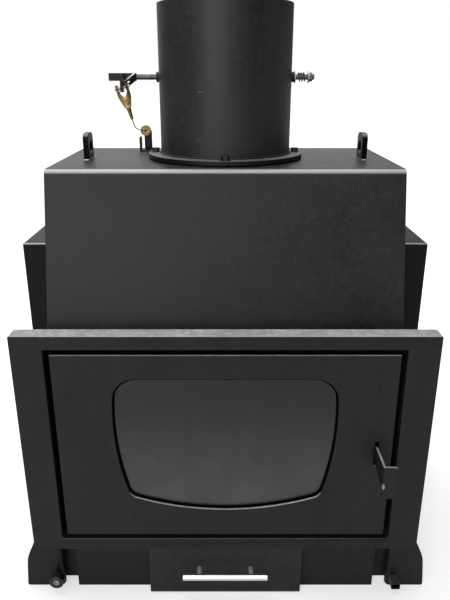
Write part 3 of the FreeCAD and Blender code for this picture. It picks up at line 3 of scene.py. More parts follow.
import logging
import math
from collections.abc import Callable, Mapping, Sequence
from dataclasses import dataclass
from enum import Enum
from functools import cache

import bpy
from bpy.types import Material, Node, NodeSocket, NodeTree, Object
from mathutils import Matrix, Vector


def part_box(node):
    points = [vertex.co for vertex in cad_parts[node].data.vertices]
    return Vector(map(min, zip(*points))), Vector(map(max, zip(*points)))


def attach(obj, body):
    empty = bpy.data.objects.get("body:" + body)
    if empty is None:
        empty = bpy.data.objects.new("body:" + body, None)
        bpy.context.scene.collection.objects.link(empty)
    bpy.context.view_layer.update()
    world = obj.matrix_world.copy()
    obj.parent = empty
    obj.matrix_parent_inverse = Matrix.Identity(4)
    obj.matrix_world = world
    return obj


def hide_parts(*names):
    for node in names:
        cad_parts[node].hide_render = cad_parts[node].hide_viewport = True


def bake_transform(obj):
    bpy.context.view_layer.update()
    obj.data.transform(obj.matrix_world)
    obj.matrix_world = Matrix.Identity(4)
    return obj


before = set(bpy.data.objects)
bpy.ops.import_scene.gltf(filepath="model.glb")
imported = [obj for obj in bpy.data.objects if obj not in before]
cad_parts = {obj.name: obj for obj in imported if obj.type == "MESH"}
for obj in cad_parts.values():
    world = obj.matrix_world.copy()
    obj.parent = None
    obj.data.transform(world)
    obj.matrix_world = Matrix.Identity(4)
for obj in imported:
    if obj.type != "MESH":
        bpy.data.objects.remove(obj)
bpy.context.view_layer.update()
LOG = logging.getLogger("boiler_fireplace")

Colour = tuple[float, float, float]
Point = tuple[float, float, float]
Value = NodeSocket | float
Sockets = Mapping[str, NodeSocket]
PairTest = Callable[[Vector, Vector], bool]

ORIGIN: Point = (0.0, 0.0, 0.0)
WHITE: Colour = (1.0, 1.0, 1.0)
SMOOTH_ANGLE = 35.0
HEX_ANGLE = 25.0
FINE_EDGE = 0.0003
SQUARE_ON = 0.9


class Body(Enum):
    """The rigid bodies of the frame."""

    STOVE = "stove"
    DAMPER = "damper"
    DOOR = "door"
    LATCH = "latch"
    DRAWER = "drawer"
    PULL = "pull"
    AIR = "air"


class Slot(Enum):
    """The record's material slots."""

    PAINT = "body_paint"
    STEEL = "bare_steel"
    STAINLESS = "stainless"
    BRASS = "brass"
    GLASS = "window_glass"
    ROPE = "sealing_rope"
    BOARD = "gasket_board"
    BRICK = "firebrick"
    IRON = "cast_iron"
    PLASTIC = "black_plastic"


class Kind(Enum):
    """The kinds of a node group's sockets."""

    NUMBER = "NodeSocketFloat"
    VECTOR = "NodeSocketVector"
    COLOUR = "NodeSocketColor"


class Part(Enum):
    """What is selected on a mesh."""

    FACES = "FACE"
    EDGES = "EDGE"


class Shader:
    """A small pen for drawing shader nodes and links into one node tree."""

    def __init__(self, tree: NodeTree) -> None:
        """Keep the tree that the nodes go into."""
        self.tree = tree

    def node(self, kind: str, **values: object) -> Node:
        """Add a node and set its properties or unlinked inputs.

        Args:
            kind: the node's type name.
            values: properties by name, or inputs by name with underscores for spaces.

        Returns:
            The new node.
        """
        made = self.tree.nodes.new(kind)
        for key, value in values.items():
            if hasattr(made, key):
                setattr(made, key, value)
            else:
                made.inputs[key.replace("_", " ")].default_value = value
        return made

    def link(self, source: NodeSocket, target: NodeSocket) -> None:
        """Join an output to an input."""
        self.tree.links.new(source, target)

    def feed(self, value: object, target: NodeSocket) -> None:
        """Link a socket to an input, or set the input to a fixed value.

        Args:
            value: a socket, a number, a colour or a vector.
            target: the input.
        """
        if isinstance(value, NodeSocket):
            self.link(value, target)
        else:
            target.default_value = (*value, 1.0) if target.type == "RGBA" else value

    def fill(self, inputs: Sockets, values: Mapping[str, object]) -> None:
        """Feed several inputs by name."""
        for name, value in values.items():
            self.feed(value, inputs[name])

    def math(self, kind: str, first: Value, second: Value) -> NodeSocket:
        """Give the result of a Math node.

        Args:
            kind: the operation's name.
            first: the first operand.
            second: the second operand.

        Returns:
            The node's output.
        """
        made = self.node("ShaderNodeMath", operation=kind)
        self.feed(first, made.inputs[0])
        self.feed(second, made.inputs[1])
        return made.outputs[0]

    def add(self, first: Value, second: Value) -> NodeSocket:
        """Give the sum of two values."""
        return self.math("ADD", first, second)

    def less(self, first: Value, second: Value) -> NodeSocket:
        """Give the first value less the second."""
        return self.math("SUBTRACT", first, second)

    def times(self, first: Value, second: Value) -> NodeSocket:
        """Give the product of two values."""
        return self.math("MULTIPLY", first, second)

    def most(self, first: Value, second: Value) -> NodeSocket:
        """Give the greater of two values."""
        return self.math("MAXIMUM", first, second)

    def blend(self, first: NodeSocket, second: NodeSocket, share: float) -> NodeSocket:
        """Give the weighted mean of two values, by the first one's share."""
        return self.add(self.times(first, share), self.times(second, 1 - share))

    def span(self, value: NodeSocket, low: float, high: float, to_low: float = 0.0,
             to_high: float = 1.0) -> NodeSocket:
        """Map a value's range smoothly onto another one.

        Args:
            value: the socket to map.
            low: the range's start.
            high: the range's end.
            to_low: the result at the start.
            to_high: the result at the end.

        Returns:
            The mapped output.
        """
        made = self.node("ShaderNodeMapRange", interpolation_type="SMOOTHSTEP", From_Min=low,
                         From_Max=high, To_Min=to_low, To_Max=to_high)
        self.link(value, made.inputs["Value"])
        return made.outputs["Result"]

    def mix(self, factor: Value, first: object, second: object, blend: str = "MIX") -> NodeSocket:
        """Mix two colours by a factor.

        Args:
            factor: a socket or a number.
            first: a socket or a colour.
            second: a socket or a colour.
            blend: the blend type.

        Returns:
            The mixed colour.
        """
        made = self.node("ShaderNodeMix", data_type="RGBA", blend_type=blend)
        sockets = {socket.identifier: socket for socket in (*made.inputs, *made.outputs)}
        self.fill(sockets, {"Factor_Float": factor, "A_Color": first, "B_Color": second})
        return sockets["Result_Color"]

    def place(self, stretch: Point = (1.0, 1.0, 1.0), turn: Point = ORIGIN) -> NodeSocket:
        """Give object coordinates, stretched and turned.

        Args:
            stretch: the scale along each axis.
            turn: the turn about each axis, in radians.

        Returns:
            The coordinates.
        """
        mapping = self.node("ShaderNodeMapping", Scale=stretch, Rotation=turn)
        self.link(self.node("ShaderNodeTexCoord").outputs["Object"], mapping.inputs["Vector"])
        return mapping.outputs["Vector"]

    def split(self, vector: NodeSocket) -> Sockets:
        """Take a vector apart.

        Args:
            vector: the vector.

        Returns:
            Its X, Y and Z.
        """
        made = self.node("ShaderNodeSeparateXYZ")
        self.link(vector, made.inputs[0])
        return made.outputs

    def vector(self, kind: str, *operands: NodeSocket) -> Sockets:
        """Add a vector Math node.

        Args:
            kind: the operation's name.
            operands: the vectors that it takes.

        Returns:
            The node's outputs.
        """
        made = self.node("ShaderNodeVectorMath", operation=kind)
        for operand, socket in zip(operands, made.inputs):
            self.link(operand, socket)
        return made.outputs

    def noise(self, vector: NodeSocket, scale: Value, detail: float = 3.0,
              rough: float = 0.55) -> NodeSocket:
        """Add a noise texture.

        Args:
            vector: the coordinates.
            scale: a number, or a socket that gives it.
            detail: the number of octaves.
            rough: how much the fine octaves weigh.

        Returns:
            The noise value.
        """
        made = self.node("ShaderNodeTexNoise", Detail=detail, Roughness=rough)
        self.fill(made.inputs, {"Vector": vector, "Scale": scale})
        return made.outputs["Fac"]

    def bump(self, height: NodeSocket, strength: float, distance: float) -> NodeSocket:
        """Roughen the normal by a height.

        Args:
            height: the height.
            strength: the bump's strength.
            distance: the bump's depth in metres.

        Returns:
            The normal.
        """
        made = self.node("ShaderNodeBump", Strength=strength, Distance=distance)
        self.link(height, made.inputs["Height"])
        return made.outputs[0]


class Effect:
    """A surface effect that several finishes share, built once as a node group."""

    inputs: dict[Kind, tuple[str, ...]]
    outputs: dict[Kind, tuple[str, ...]]

    @classmethod
    @cache
    def tree(cls) -> NodeTree:
        """Build the node group, on first use.

        Returns:
            The node group.
        """
        made = bpy.data.node_groups.new(cls.__name__, "ShaderNodeTree")
        for way, sockets in (("INPUT", cls.inputs), ("OUTPUT", cls.outputs)):
            for kind, labels in sockets.items():
                for label in labels:
                    made.interface.new_socket(label, in_out=way, socket_type=kind.value)
        pen = Shader(made)
        cls.draw(pen, pen.node("NodeGroupInput").outputs, pen.node("NodeGroupOutput").inputs)
        return made

    @classmethod
    def draw(cls, pen: Shader, given: Sockets, out: Sockets) -> None:
        """Draw the nodes between the group's inputs and its outputs."""
        raise NotImplementedError

    @classmethod
    def place(cls, pen: Shader, values: object) -> Sockets:
        """Place the effect in a material.

        Args:
            pen: the material's pen.
            values: a finish or a spot, with a field for each of the effect's inputs.

        Returns:
            The effect's outputs.
        """
        made = pen.node("ShaderNodeGroup", node_tree=cls.tree())
        for labels in cls.inputs.values():
            pen.fill(made.inputs, {label: getattr(values, label) for label in labels})
        return made.outputs


class PaintSkin(Effect):
    """Mottle, wiped marks, dust with painted sheen on upward faces, painted highlights on up-sloping edges
    and the grain of sprayed paint.
    """

    inputs = {Kind.COLOUR: ("colour",),
              Kind.NUMBER: ("roughness", "mottle", "wipe", "dust_and_sheen", "dust_and_sheen_from", "edge_highlight")}
    # The bare output is the metallic share of the painted edge highlight.
    outputs = {Kind.COLOUR: ("colour",), Kind.NUMBER: ("roughness", "bare", "height")}
    # Whitening of upward faces: real dust where a finish's amount is small, painted sheen where it is
    # large.
    DUST_AND_SHEEN: Colour = (0.78, 0.78, 0.775)
    # Colour and metallic share of the painted highlight on up-sloping edges.
    HIGHLIGHT: Colour = (0.85, 0.85, 0.855)
    HIGHLIGHT_METAL = 0.7
    FINE_SHARE = 1.4
    TONE_GAIN = 3.0
    TONE_GLOSS = 0.4
    DUST_AND_SHEEN_GLOSS = 0.2
    GRAIN_SHARE = 0.55

    @classmethod
    def draw(cls, pen: Shader, given: Sockets, out: Sockets) -> None:
        """Draw the paint's skin.

        Args:
            pen: the group's pen.
            given: the group's inputs.
            out: the group's outputs.
        """
        plain = pen.place()
        cloud = pen.noise(plain, 7.0, 5.0)
        wiped = pen.noise(pen.place((26.0, 26.0, 2.2)), 1.0, 4.0, 0.6)
        fine = pen.noise(plain, 110.0, 4.0, 0.75)
        patches = pen.less(pen.add(cloud, pen.times(fine, cls.FINE_SHARE)), (1 + cls.FINE_SHARE) / 2)
        tone = pen.add(pen.times(patches, given["mottle"]), pen.times(pen.less(wiped, 0.5), given["wipe"]))
        level = pen.node("ShaderNodeCombineColor")
        lit = pen.add(1.0, pen.times(tone, cls.TONE_GAIN))
        for socket in level.inputs[:3]:
            pen.link(lit, socket)
        toned = pen.mix(1.0, given["colour"], level.outputs[0], "MULTIPLY")
        up = pen.split(pen.node("ShaderNodeNewGeometry").outputs["Normal"])["Z"]
        specks = pen.span(pen.noise(plain, 55.0, 6.0, 0.7), 0.36, 0.72, 0.6, 1.0)
        # Upward faces are whitened above a set height: dust where the amount is small, painted sheen where
        # it is large.
        high_enough = pen.math("GREATER_THAN", pen.split(plain)["Z"], given["dust_and_sheen_from"])
        dust_and_sheen = pen.times(pen.times(pen.span(up, 0.45, 0.95), specks), given["dust_and_sheen"])
        dust_and_sheen = pen.times(dust_and_sheen, high_enough)
        # Painted highlight: edge faces that slope up between upright and level are whitened and made
        # partly metallic, as if glinting.
        slope = pen.times(pen.span(up, 0.35, 0.66), pen.span(up, 0.90, 0.99, 1.0, 0.0))
        edge_highlight_mask = pen.times(slope, given["edge_highlight"])
        gloss = pen.add(given["roughness"], pen.times(tone, cls.TONE_GLOSS))
        grain = pen.noise(plain, 950.0, 2.0, 0.5)
        peel = pen.noise(plain, 210.0, 2.0, 0.5)
        pen.fill(out, {"colour": pen.mix(edge_highlight_mask, pen.mix(dust_and_sheen, toned, cls.DUST_AND_SHEEN), cls.HIGHLIGHT),
                       "roughness": pen.add(gloss, pen.times(dust_and_sheen, cls.DUST_AND_SHEEN_GLOSS)),
                       "bare": pen.times(edge_highlight_mask, cls.HIGHLIGHT_METAL),
                       "height": pen.blend(grain, peel, cls.GRAIN_SHARE)})


class RubbedMask(Effect):
    """A patchy mask round one point, where handling has rubbed the paint off."""

    inputs = {Kind.VECTOR: ("centre", "reach")}
    outputs = {Kind.NUMBER: ("mask",)}
    RAGGED = 1.3

    @classmethod
    def draw(cls, pen: Shader, given: Sockets, out: Sockets) -> None:
        """Draw the mask.

        Args:
            pen: the group's pen.
            given: the group's inputs.
            out: the group's outputs.
        """
        where = pen.place()
        away = pen.vector("SUBTRACT", where, given["centre"])["Vector"]
        distance = pen.vector("LENGTH", pen.vector("DIVIDE", away, given["reach"])["Vector"])["Value"]
        ragged = pen.add(distance, pen.times(pen.noise(where, 240.0, 5.0, 0.65), cls.RAGGED))
        pen.link(pen.span(ragged, 1.05, 1.35, 1.0, 0.0), out["mask"])


class DrawnLines(Effect):
    """Fine lines along X and faint blotches, as on drawn or brushed metal."""

    inputs = {Kind.COLOUR: ("colour", "tarnish_colour"), Kind.NUMBER: ("tarnish", "blotch", "roughness")}
    outputs = {Kind.COLOUR: ("colour",), Kind.NUMBER: ("roughness", "height")}
    LINE_GLOSS = 0.12
    MARK_GLOSS = 0.35

    @classmethod
    def draw(cls, pen: Shader, given: Sockets, out: Sockets) -> None:
        """Draw the lines and blotches.

        Args:
            pen: the group's pen.
            given: the group's inputs.
            out: the group's outputs.
        """
        lines = pen.noise(pen.place((18.0, 2600.0, 2600.0)), 1.0, 2.0, 0.5)
        blotch = pen.noise(pen.place(), given["blotch"], 5.0, 0.6)
        marks = pen.times(pen.span(blotch, 0.42, 0.72), given["tarnish"])
        base = pen.add(given["roughness"], pen.times(lines, cls.LINE_GLOSS))
        pen.fill(out, {"colour": pen.mix(marks, given["colour"], given["tarnish_colour"]),
                       "roughness": pen.add(base, pen.times(marks, cls.MARK_GLOSS)),
                       "height": lines})


class CoarseGrit(Effect):
    """Flecks and pits of cast or pressed mineral surfaces, with patches of soot."""

    inputs = {Kind.COLOUR: ("colour", "fleck"), Kind.NUMBER: ("fleck_scale", "soot")}
    outputs = {Kind.COLOUR: ("colour",), Kind.NUMBER: ("roughness", "height")}
    SOOT: Colour = (0.018, 0.017, 0.016)
    ROUGH = 0.72
    CLOUD_GLOSS = 0.25
    FLECK_SHARE = 0.6

    @classmethod
    def draw(cls, pen: Shader, given: Sockets, out: Sockets) -> None:
        """Draw the flecks, pits and soot.

        Args:
            pen: the group's pen.
            given: the group's inputs.
            out: the group's outputs.
        """
        where = pen.place()
        cells = pen.node("ShaderNodeTexVoronoi", feature="F1")
        pen.fill(cells.inputs, {"Vector": where, "Scale": given["fleck_scale"]})
        fleck = pen.span(cells.outputs["Distance"], 0.15, 0.6)
        cloud = pen.noise(where, 30.0, 6.0, 0.65)
        tone = pen.mix(fleck, given["fleck"], given["colour"])
        sooty = pen.times(pen.span(cloud, 0.30, 0.70), given["soot"])
        pen.fill(out, {"colour": pen.mix(sooty, tone, cls.SOOT),
                       "roughness": pen.add(cls.ROUGH, pen.times(cloud, cls.CLOUD_GLOSS)),
                       "height": pen.blend(fleck, cloud, cls.FLECK_SHARE)})


class Plait(Effect):
    """Crossed ribs of a plaited rope or a cable's lay."""

    inputs = {Kind.COLOUR: ("low", "high"), Kind.NUMBER: ("ribs",)}
    outputs = {Kind.COLOUR: ("colour",), Kind.NUMBER: ("height",)}
    RIB_TURN = 0.7
    FUZZ = 0.25

    @classmethod
    def draw(cls, pen: Shader, given: Sockets, out: Sockets) -> None:
        """Draw the two sets of ribs.

        Args:
            pen: the group's pen.
            given: the group's inputs.
            out: the group's outputs.
        """
        ribs = []
        for turn in (cls.RIB_TURN, -cls.RIB_TURN):
            wave = pen.node("ShaderNodeTexWave", wave_type="BANDS", bands_direction="X", Distortion=1.2)
            pen.fill(wave.inputs, {"Vector": pen.place(turn=(0.0, turn, turn)), "Scale": given["ribs"]})
            ribs.append(wave.outputs["Fac"])
        height = pen.times(pen.add(*ribs), 0.5)
        fuzz = pen.noise(pen.place(), 1800.0, 2.0)
        pen.fill(out, {"colour": pen.mix(height, given["low"], given["high"]),
                       "height": pen.add(height, pen.times(fuzz, cls.FUZZ))})


class Finish:
    """What every finish shares: a slot, and a material with a Principled shader."""

    name: str
    slot: Slot

    @cache
    def material(self) -> Material:
        """Make the material, on first use.

        Returns:
            The material.
        """
        made = bpy.data.materials.new(self.name)
        made.use_nodes = True
        made.node_tree.nodes.clear()
        pen = Shader(made.node_tree)
        shader = pen.node("ShaderNodeBsdfPrincipled")
        pen.link(shader.outputs[0], pen.node("ShaderNodeOutputMaterial").inputs[0])
        pen.fill(shader.inputs, self.looks(pen))
        return made

    def looks(self, pen: Shader) -> dict[str, object]:
        """Draw the finish and give the shader's inputs by name."""
        raise NotImplementedError


@dataclass(frozen=True)
class RubbedSpot:
    """A place where the paint is rubbed through to the metal."""

    centre: Point
    reach: Point
    colour: Colour = (0.42, 0.33, 0.20)
    smoother: float = 0.08


@dataclass(frozen=True)
class Paint(Finish):
    """Satin heat-proof paint on steel plate, or the skin of moulded plastic."""

    name: str
    colour: Colour = (0.018, 0.018, 0.0183)
    roughness: float = 0.44
    mottle: float = 0.34
    wipe: float = 0.22
    # Whitens upward faces: dust at small values, painted sheen at large ones; the next field sets the
    # height where it starts.
    dust_and_sheen: float = 0.16
    dust_and_sheen_from: float = 0.0
    # Painted highlight on up-sloping edge faces.
    edge_highlight: float = 0.0
    gloss: float = 0.24
    grain: float = 0.35
    grain_depth: float = 0.0004
    spots: tuple[RubbedSpot, ...] = ()
    slot: Slot = Slot.PAINT

    def looks(self, pen: Shader) -> dict[str, object]:
        """Draw the paint, with bare metal at its rubbed spots.

        Args:
            pen: the material's pen.

        Returns:
            The shader's inputs by name.
        """
        skin = PaintSkin.place(pen, self)
        # The skin's bare output is the painted edge highlight; rubbed spots add real bare metal to it.
        colour, rough, metal = skin["colour"], skin["roughness"], skin["bare"]
        for spot in self.spots:
            mask = RubbedMask.place(pen, spot)["mask"]
            colour = pen.mix(mask, colour, spot.colour)
            rough = pen.less(rough, pen.times(mask, spot.smoother))
            metal = pen.most(metal, mask)
        return {"Base Color": colour, "Roughness": rough, "Metallic": metal,
                "Specular IOR Level": self.gloss,
                "Normal": pen.bump(skin["height"], self.grain, self.grain_depth)}


@dataclass(frozen=True)
class Metal(Finish):
    """Bare metal with drawn lines and tarnish."""

    name: str
    colour: Colour
    tarnish_colour: Colour = (0.16, 0.14, 0.12)
    tarnish: float = 0.3
    blotch: float = 90.0
    roughness: float = 0.24
    lines: float = 0.12
    line_depth: float = 0.0002
    slot: Slot = Slot.STEEL

    def looks(self, pen: Shader) -> dict[str, object]:
        """Draw the metal and give the shader's inputs by name."""
        drawn = DrawnLines.place(pen, self)
        return {"Base Color": drawn["colour"], "Roughness": drawn["roughness"], "Metallic": 1.0,
                "Normal": pen.bump(drawn["height"], self.lines, self.line_depth)}


@dataclass(frozen=True)
class Grit(Finish):
    """Cast iron, pressed brick or gasket board."""

    name: str
    slot: Slot
    colour: Colour
    fleck: Colour
    fleck_scale: float
    soot: float
    depth: float
    gloss: float = 0.5
    relief: float = 0.6

    def looks(self, pen: Shader) -> dict[str, object]:
        """Draw the mineral or cast surface and give the shader's inputs by name."""
        grit = CoarseGrit.place(pen, self)
        return {"Base Color": grit["colour"], "Roughness": grit["roughness"],
                "Specular IOR Level": self.gloss,
                "Normal": pen.bump(grit["height"], self.relief, self.depth)}


@dataclass(frozen=True)
class Plaited(Finish):
    """Plaited sealing rope or twisted wire."""

    name: str
    slot: Slot
    low: Colour
    high: Colour
    ribs: float
    roughness: float = 0.9
    metallic: float = 0.0
    depth: float = 0.001
    relief: float = 0.7

    def looks(self, pen: Shader) -> dict[str, object]:
        """Draw the plait and give the shader's inputs by name."""
        weave = Plait.place(pen, self)
        return {"Base Color": weave["colour"], "Roughness": self.roughness, "Metallic": self.metallic,
                "Normal": pen.bump(weave["height"], self.relief, self.depth)}


@dataclass(frozen=True)
class SmokedGlass(Finish):
    """Ceramic window glass, lighter low down with a painted reflection broken by streaks, and browned by
    smoke high on the left.
    """

    name: str = "smoked_glass"
    colour: Colour = (0.003, 0.003, 0.003)
    # Colour of the painted reflection in the lower part of the window.
    low_reflection_colour: Colour = (0.110, 0.1095, 0.108)
    smoke_colour: Colour = (0.020, 0.018, 0.009)
    streak_share: float = 0.35
    alpha: float = 0.96
    refraction: float = 1.48
    slot: Slot = Slot.GLASS

    def looks(self, pen: Shader) -> dict[str, object]:
        """Draw the glass.

        Args:
            pen: the material's pen.

        Returns:
            The shader's inputs by name.
        """
        where = pen.split(pen.place())
        streaks = pen.noise(pen.place((34.0, 34.0, 1.6)), 1.0, 4.0, 0.6)
        haze = pen.blend(streaks, pen.noise(pen.place(), 14.0, 6.0, 0.65), self.streak_share)
        # Painted reflection: lighter towards the bottom of the window, broken up by streaks.
        low_reflection = pen.times(pen.span(where["Z"], 0.46, 0.20), pen.span(haze, 0.35, 0.65, 0.72, 1.0))
        high_left = pen.times(pen.span(where["X"], 0.02, -0.14), pen.span(where["Z"], 0.38, 0.45))
        smoked = pen.times(high_left, pen.noise(pen.place(), 24.0, 4.0))
        clear = pen.mix(low_reflection, self.colour, self.low_reflection_colour)
        return {"Base Color": pen.mix(smoked, clear, self.smoke_colour),
                "Roughness": pen.span(streaks, 0.25, 0.75, 0.05, 0.11), "Alpha": self.alpha,
                "IOR": self.refraction}


def grey(level: float, blue: float | None = None) -> Colour:
    """Give a grey, with its own blue where it is a cold one."""
    return (level, level, level if blue is None else blue)


SCRATCHES = (RubbedSpot((-0.0435, -0.0135, 0.9030), (0.010, 0.02, 0.0011), grey(0.20)),
             RubbedSpot((-0.078, 0.006, 0.856), (0.0013, 0.02, 0.007), grey(0.16)),
             RubbedSpot((-0.046, -0.012, 0.823), (0.006, 0.02, 0.0012), grey(0.13)))
LATCH_SPOT = RubbedSpot((0.2595, -0.286, 0.294), (0.006, 0.012, 0.010))
SCUFF = RubbedSpot((0.012, -0.2195, 0.035), (0.006, 0.01, 0.006), (0.33, 0.31, 0.28))
WORN_LIP = RubbedSpot((0.0, -0.2195, 0.003), (0.6, 0.02, 0.006), (0.11, 0.09, 0.065))
# In the paints below, an upward-face whitening of 0.4 or more is mostly painted sheen, as on the frame's
# top band and the door's top edge.
PAINT = Paint("satin_paint", dust_and_sheen=0.05)
# Here and below, the paints' edge amount is a painted highlight on up-sloping edges; on this casing it
# makes the bright band along the front-top bend.
TOP_PAINT = Paint("satin_paint_top", grey(0.028, 0.0283), mottle=0.5, dust_and_sheen=0.014, edge_highlight=0.5)
LUG_PAINT = Paint("satin_paint_lug", grey(0.0015), roughness=0.3, gloss=0.06, dust_and_sheen=0.2, edge_highlight=0.2)
FLUE_PAINT = Paint("satin_paint_flue", grey(0.021, 0.0213), roughness=0.46, gloss=0.42, mottle=0.5,
                   dust_and_sheen=0.10, spots=SCRATCHES)
FLANGE_PAINT = Paint("satin_paint_flange", grey(0.012), dust_and_sheen=0.40, edge_highlight=0.55)
BOLT_PAINT = Paint("black_bolt", grey(0.003), roughness=0.28, gloss=0.5, dust_and_sheen=0.02)
# Side jackets: a darker copy of the satin paint, painted shade for their fronts set back behind the frame.
SHADED_JACKET_PAINT = Paint("satin_paint_jacket_shaded", grey(0.0095, 0.0097), gloss=0.15, dust_and_sheen=0.02, edge_highlight=0.5)
FRAME_PAINT = Paint("satin_paint_frame", mottle=0.4, dust_and_sheen=0.9, dust_and_sheen_from=0.5, edge_highlight=1.0)
# Front plate: near black, painted shade for the deep gap round the door.
GAP_SHADE_PLATE_PAINT = Paint("satin_paint_plate_gap_shade", grey(0.004), roughness=0.75, gloss=0.1, dust_and_sheen=0.9, dust_and_sheen_from=0.5)
DOOR_PAINT = Paint("satin_paint_door", grey(0.020, 0.0203), wipe=0.3, dust_and_sheen=1.0, edge_highlight=1.0)
LATCH_PAINT = Paint("latch_paint", roughness=0.36, dust_and_sheen=0.9, edge_highlight=1.0, spots=(LATCH_SPOT,))
DRAWER_PAINT = Paint("drawer_paint", grey(0.033), wipe=0.26, spots=(SCUFF, WORN_LIP))
CRANK_PAINT = Paint("crank_paint", grey(0.014, 0.0144), roughness=0.4, dust_and_sheen=0.1, edge_highlight=1.0)
ROD_PAINT = Paint("black_rod_edge_highlight", grey(0.014), dust_and_sheen=0.16, edge_highlight=0.5, slot=Slot.STEEL)
INSIDE_PAINT = Paint("sooted_steel", grey(0.009), roughness=0.75, mottle=0.6, dust_and_sheen=0.02)
PLASTIC = Paint("black_plastic", grey(0.014, 0.015), roughness=0.38, mottle=0.2, wipe=0.1, dust_and_sheen=0.03,
                gloss=0.5, grain=0.2, grain_depth=0.0003, slot=Slot.PLASTIC)
STEEL = Metal("bare_steel", (0.50, 0.49, 0.47), tarnish=0.45, roughness=0.3)
DARK_STEEL = Metal("dark_steel", grey(0.13, 0.132), grey(0.04), tarnish=0.5, roughness=0.34)
POST_STEEL = Metal("stainless_post", (0.80, 0.79, 0.77), tarnish=0.05, roughness=0.55, lines=0.1,
                   slot=Slot.STAINLESS)
STAINLESS = Metal("stainless", (0.96, 0.945, 0.92), tarnish=0.03, roughness=0.22, lines=0.2,
                  slot=Slot.STAINLESS)
BRASS = Metal("dull_brass", (0.36, 0.235, 0.095), (0.022, 0.013, 0.005), tarnish=1.0, blotch=150.0,
              roughness=0.16, lines=0.4, slot=Slot.BRASS)
IRON = Grit("cast_iron", Slot.IRON, (0.045, 0.044, 0.043), (0.075, 0.073, 0.07), 420.0, 0.3, 0.0008)
BRICK = Grit("fire_brick", Slot.BRICK, (0.40, 0.34, 0.25), (0.55, 0.48, 0.36), 230.0, 0.55, 0.0012)
# Gasket board: near black, partly its own colour and partly painted shade for the dark lines under the
# flange and round the glass.
BOARD = Grit("gasket_board", Slot.BOARD, grey(0.002), grey(0.003), 700.0, 0.0, 0.0005, gloss=0.02)
ROPE = Plaited("sealing_rope", Slot.ROPE, grey(0.018), (0.075, 0.073, 0.07), 110.0)
WIRE = Plaited("twisted_wire", Slot.STEEL, grey(0.008), grey(0.04), 420.0, 0.42, 1.0, 0.0003)
GLASS = SmokedGlass()


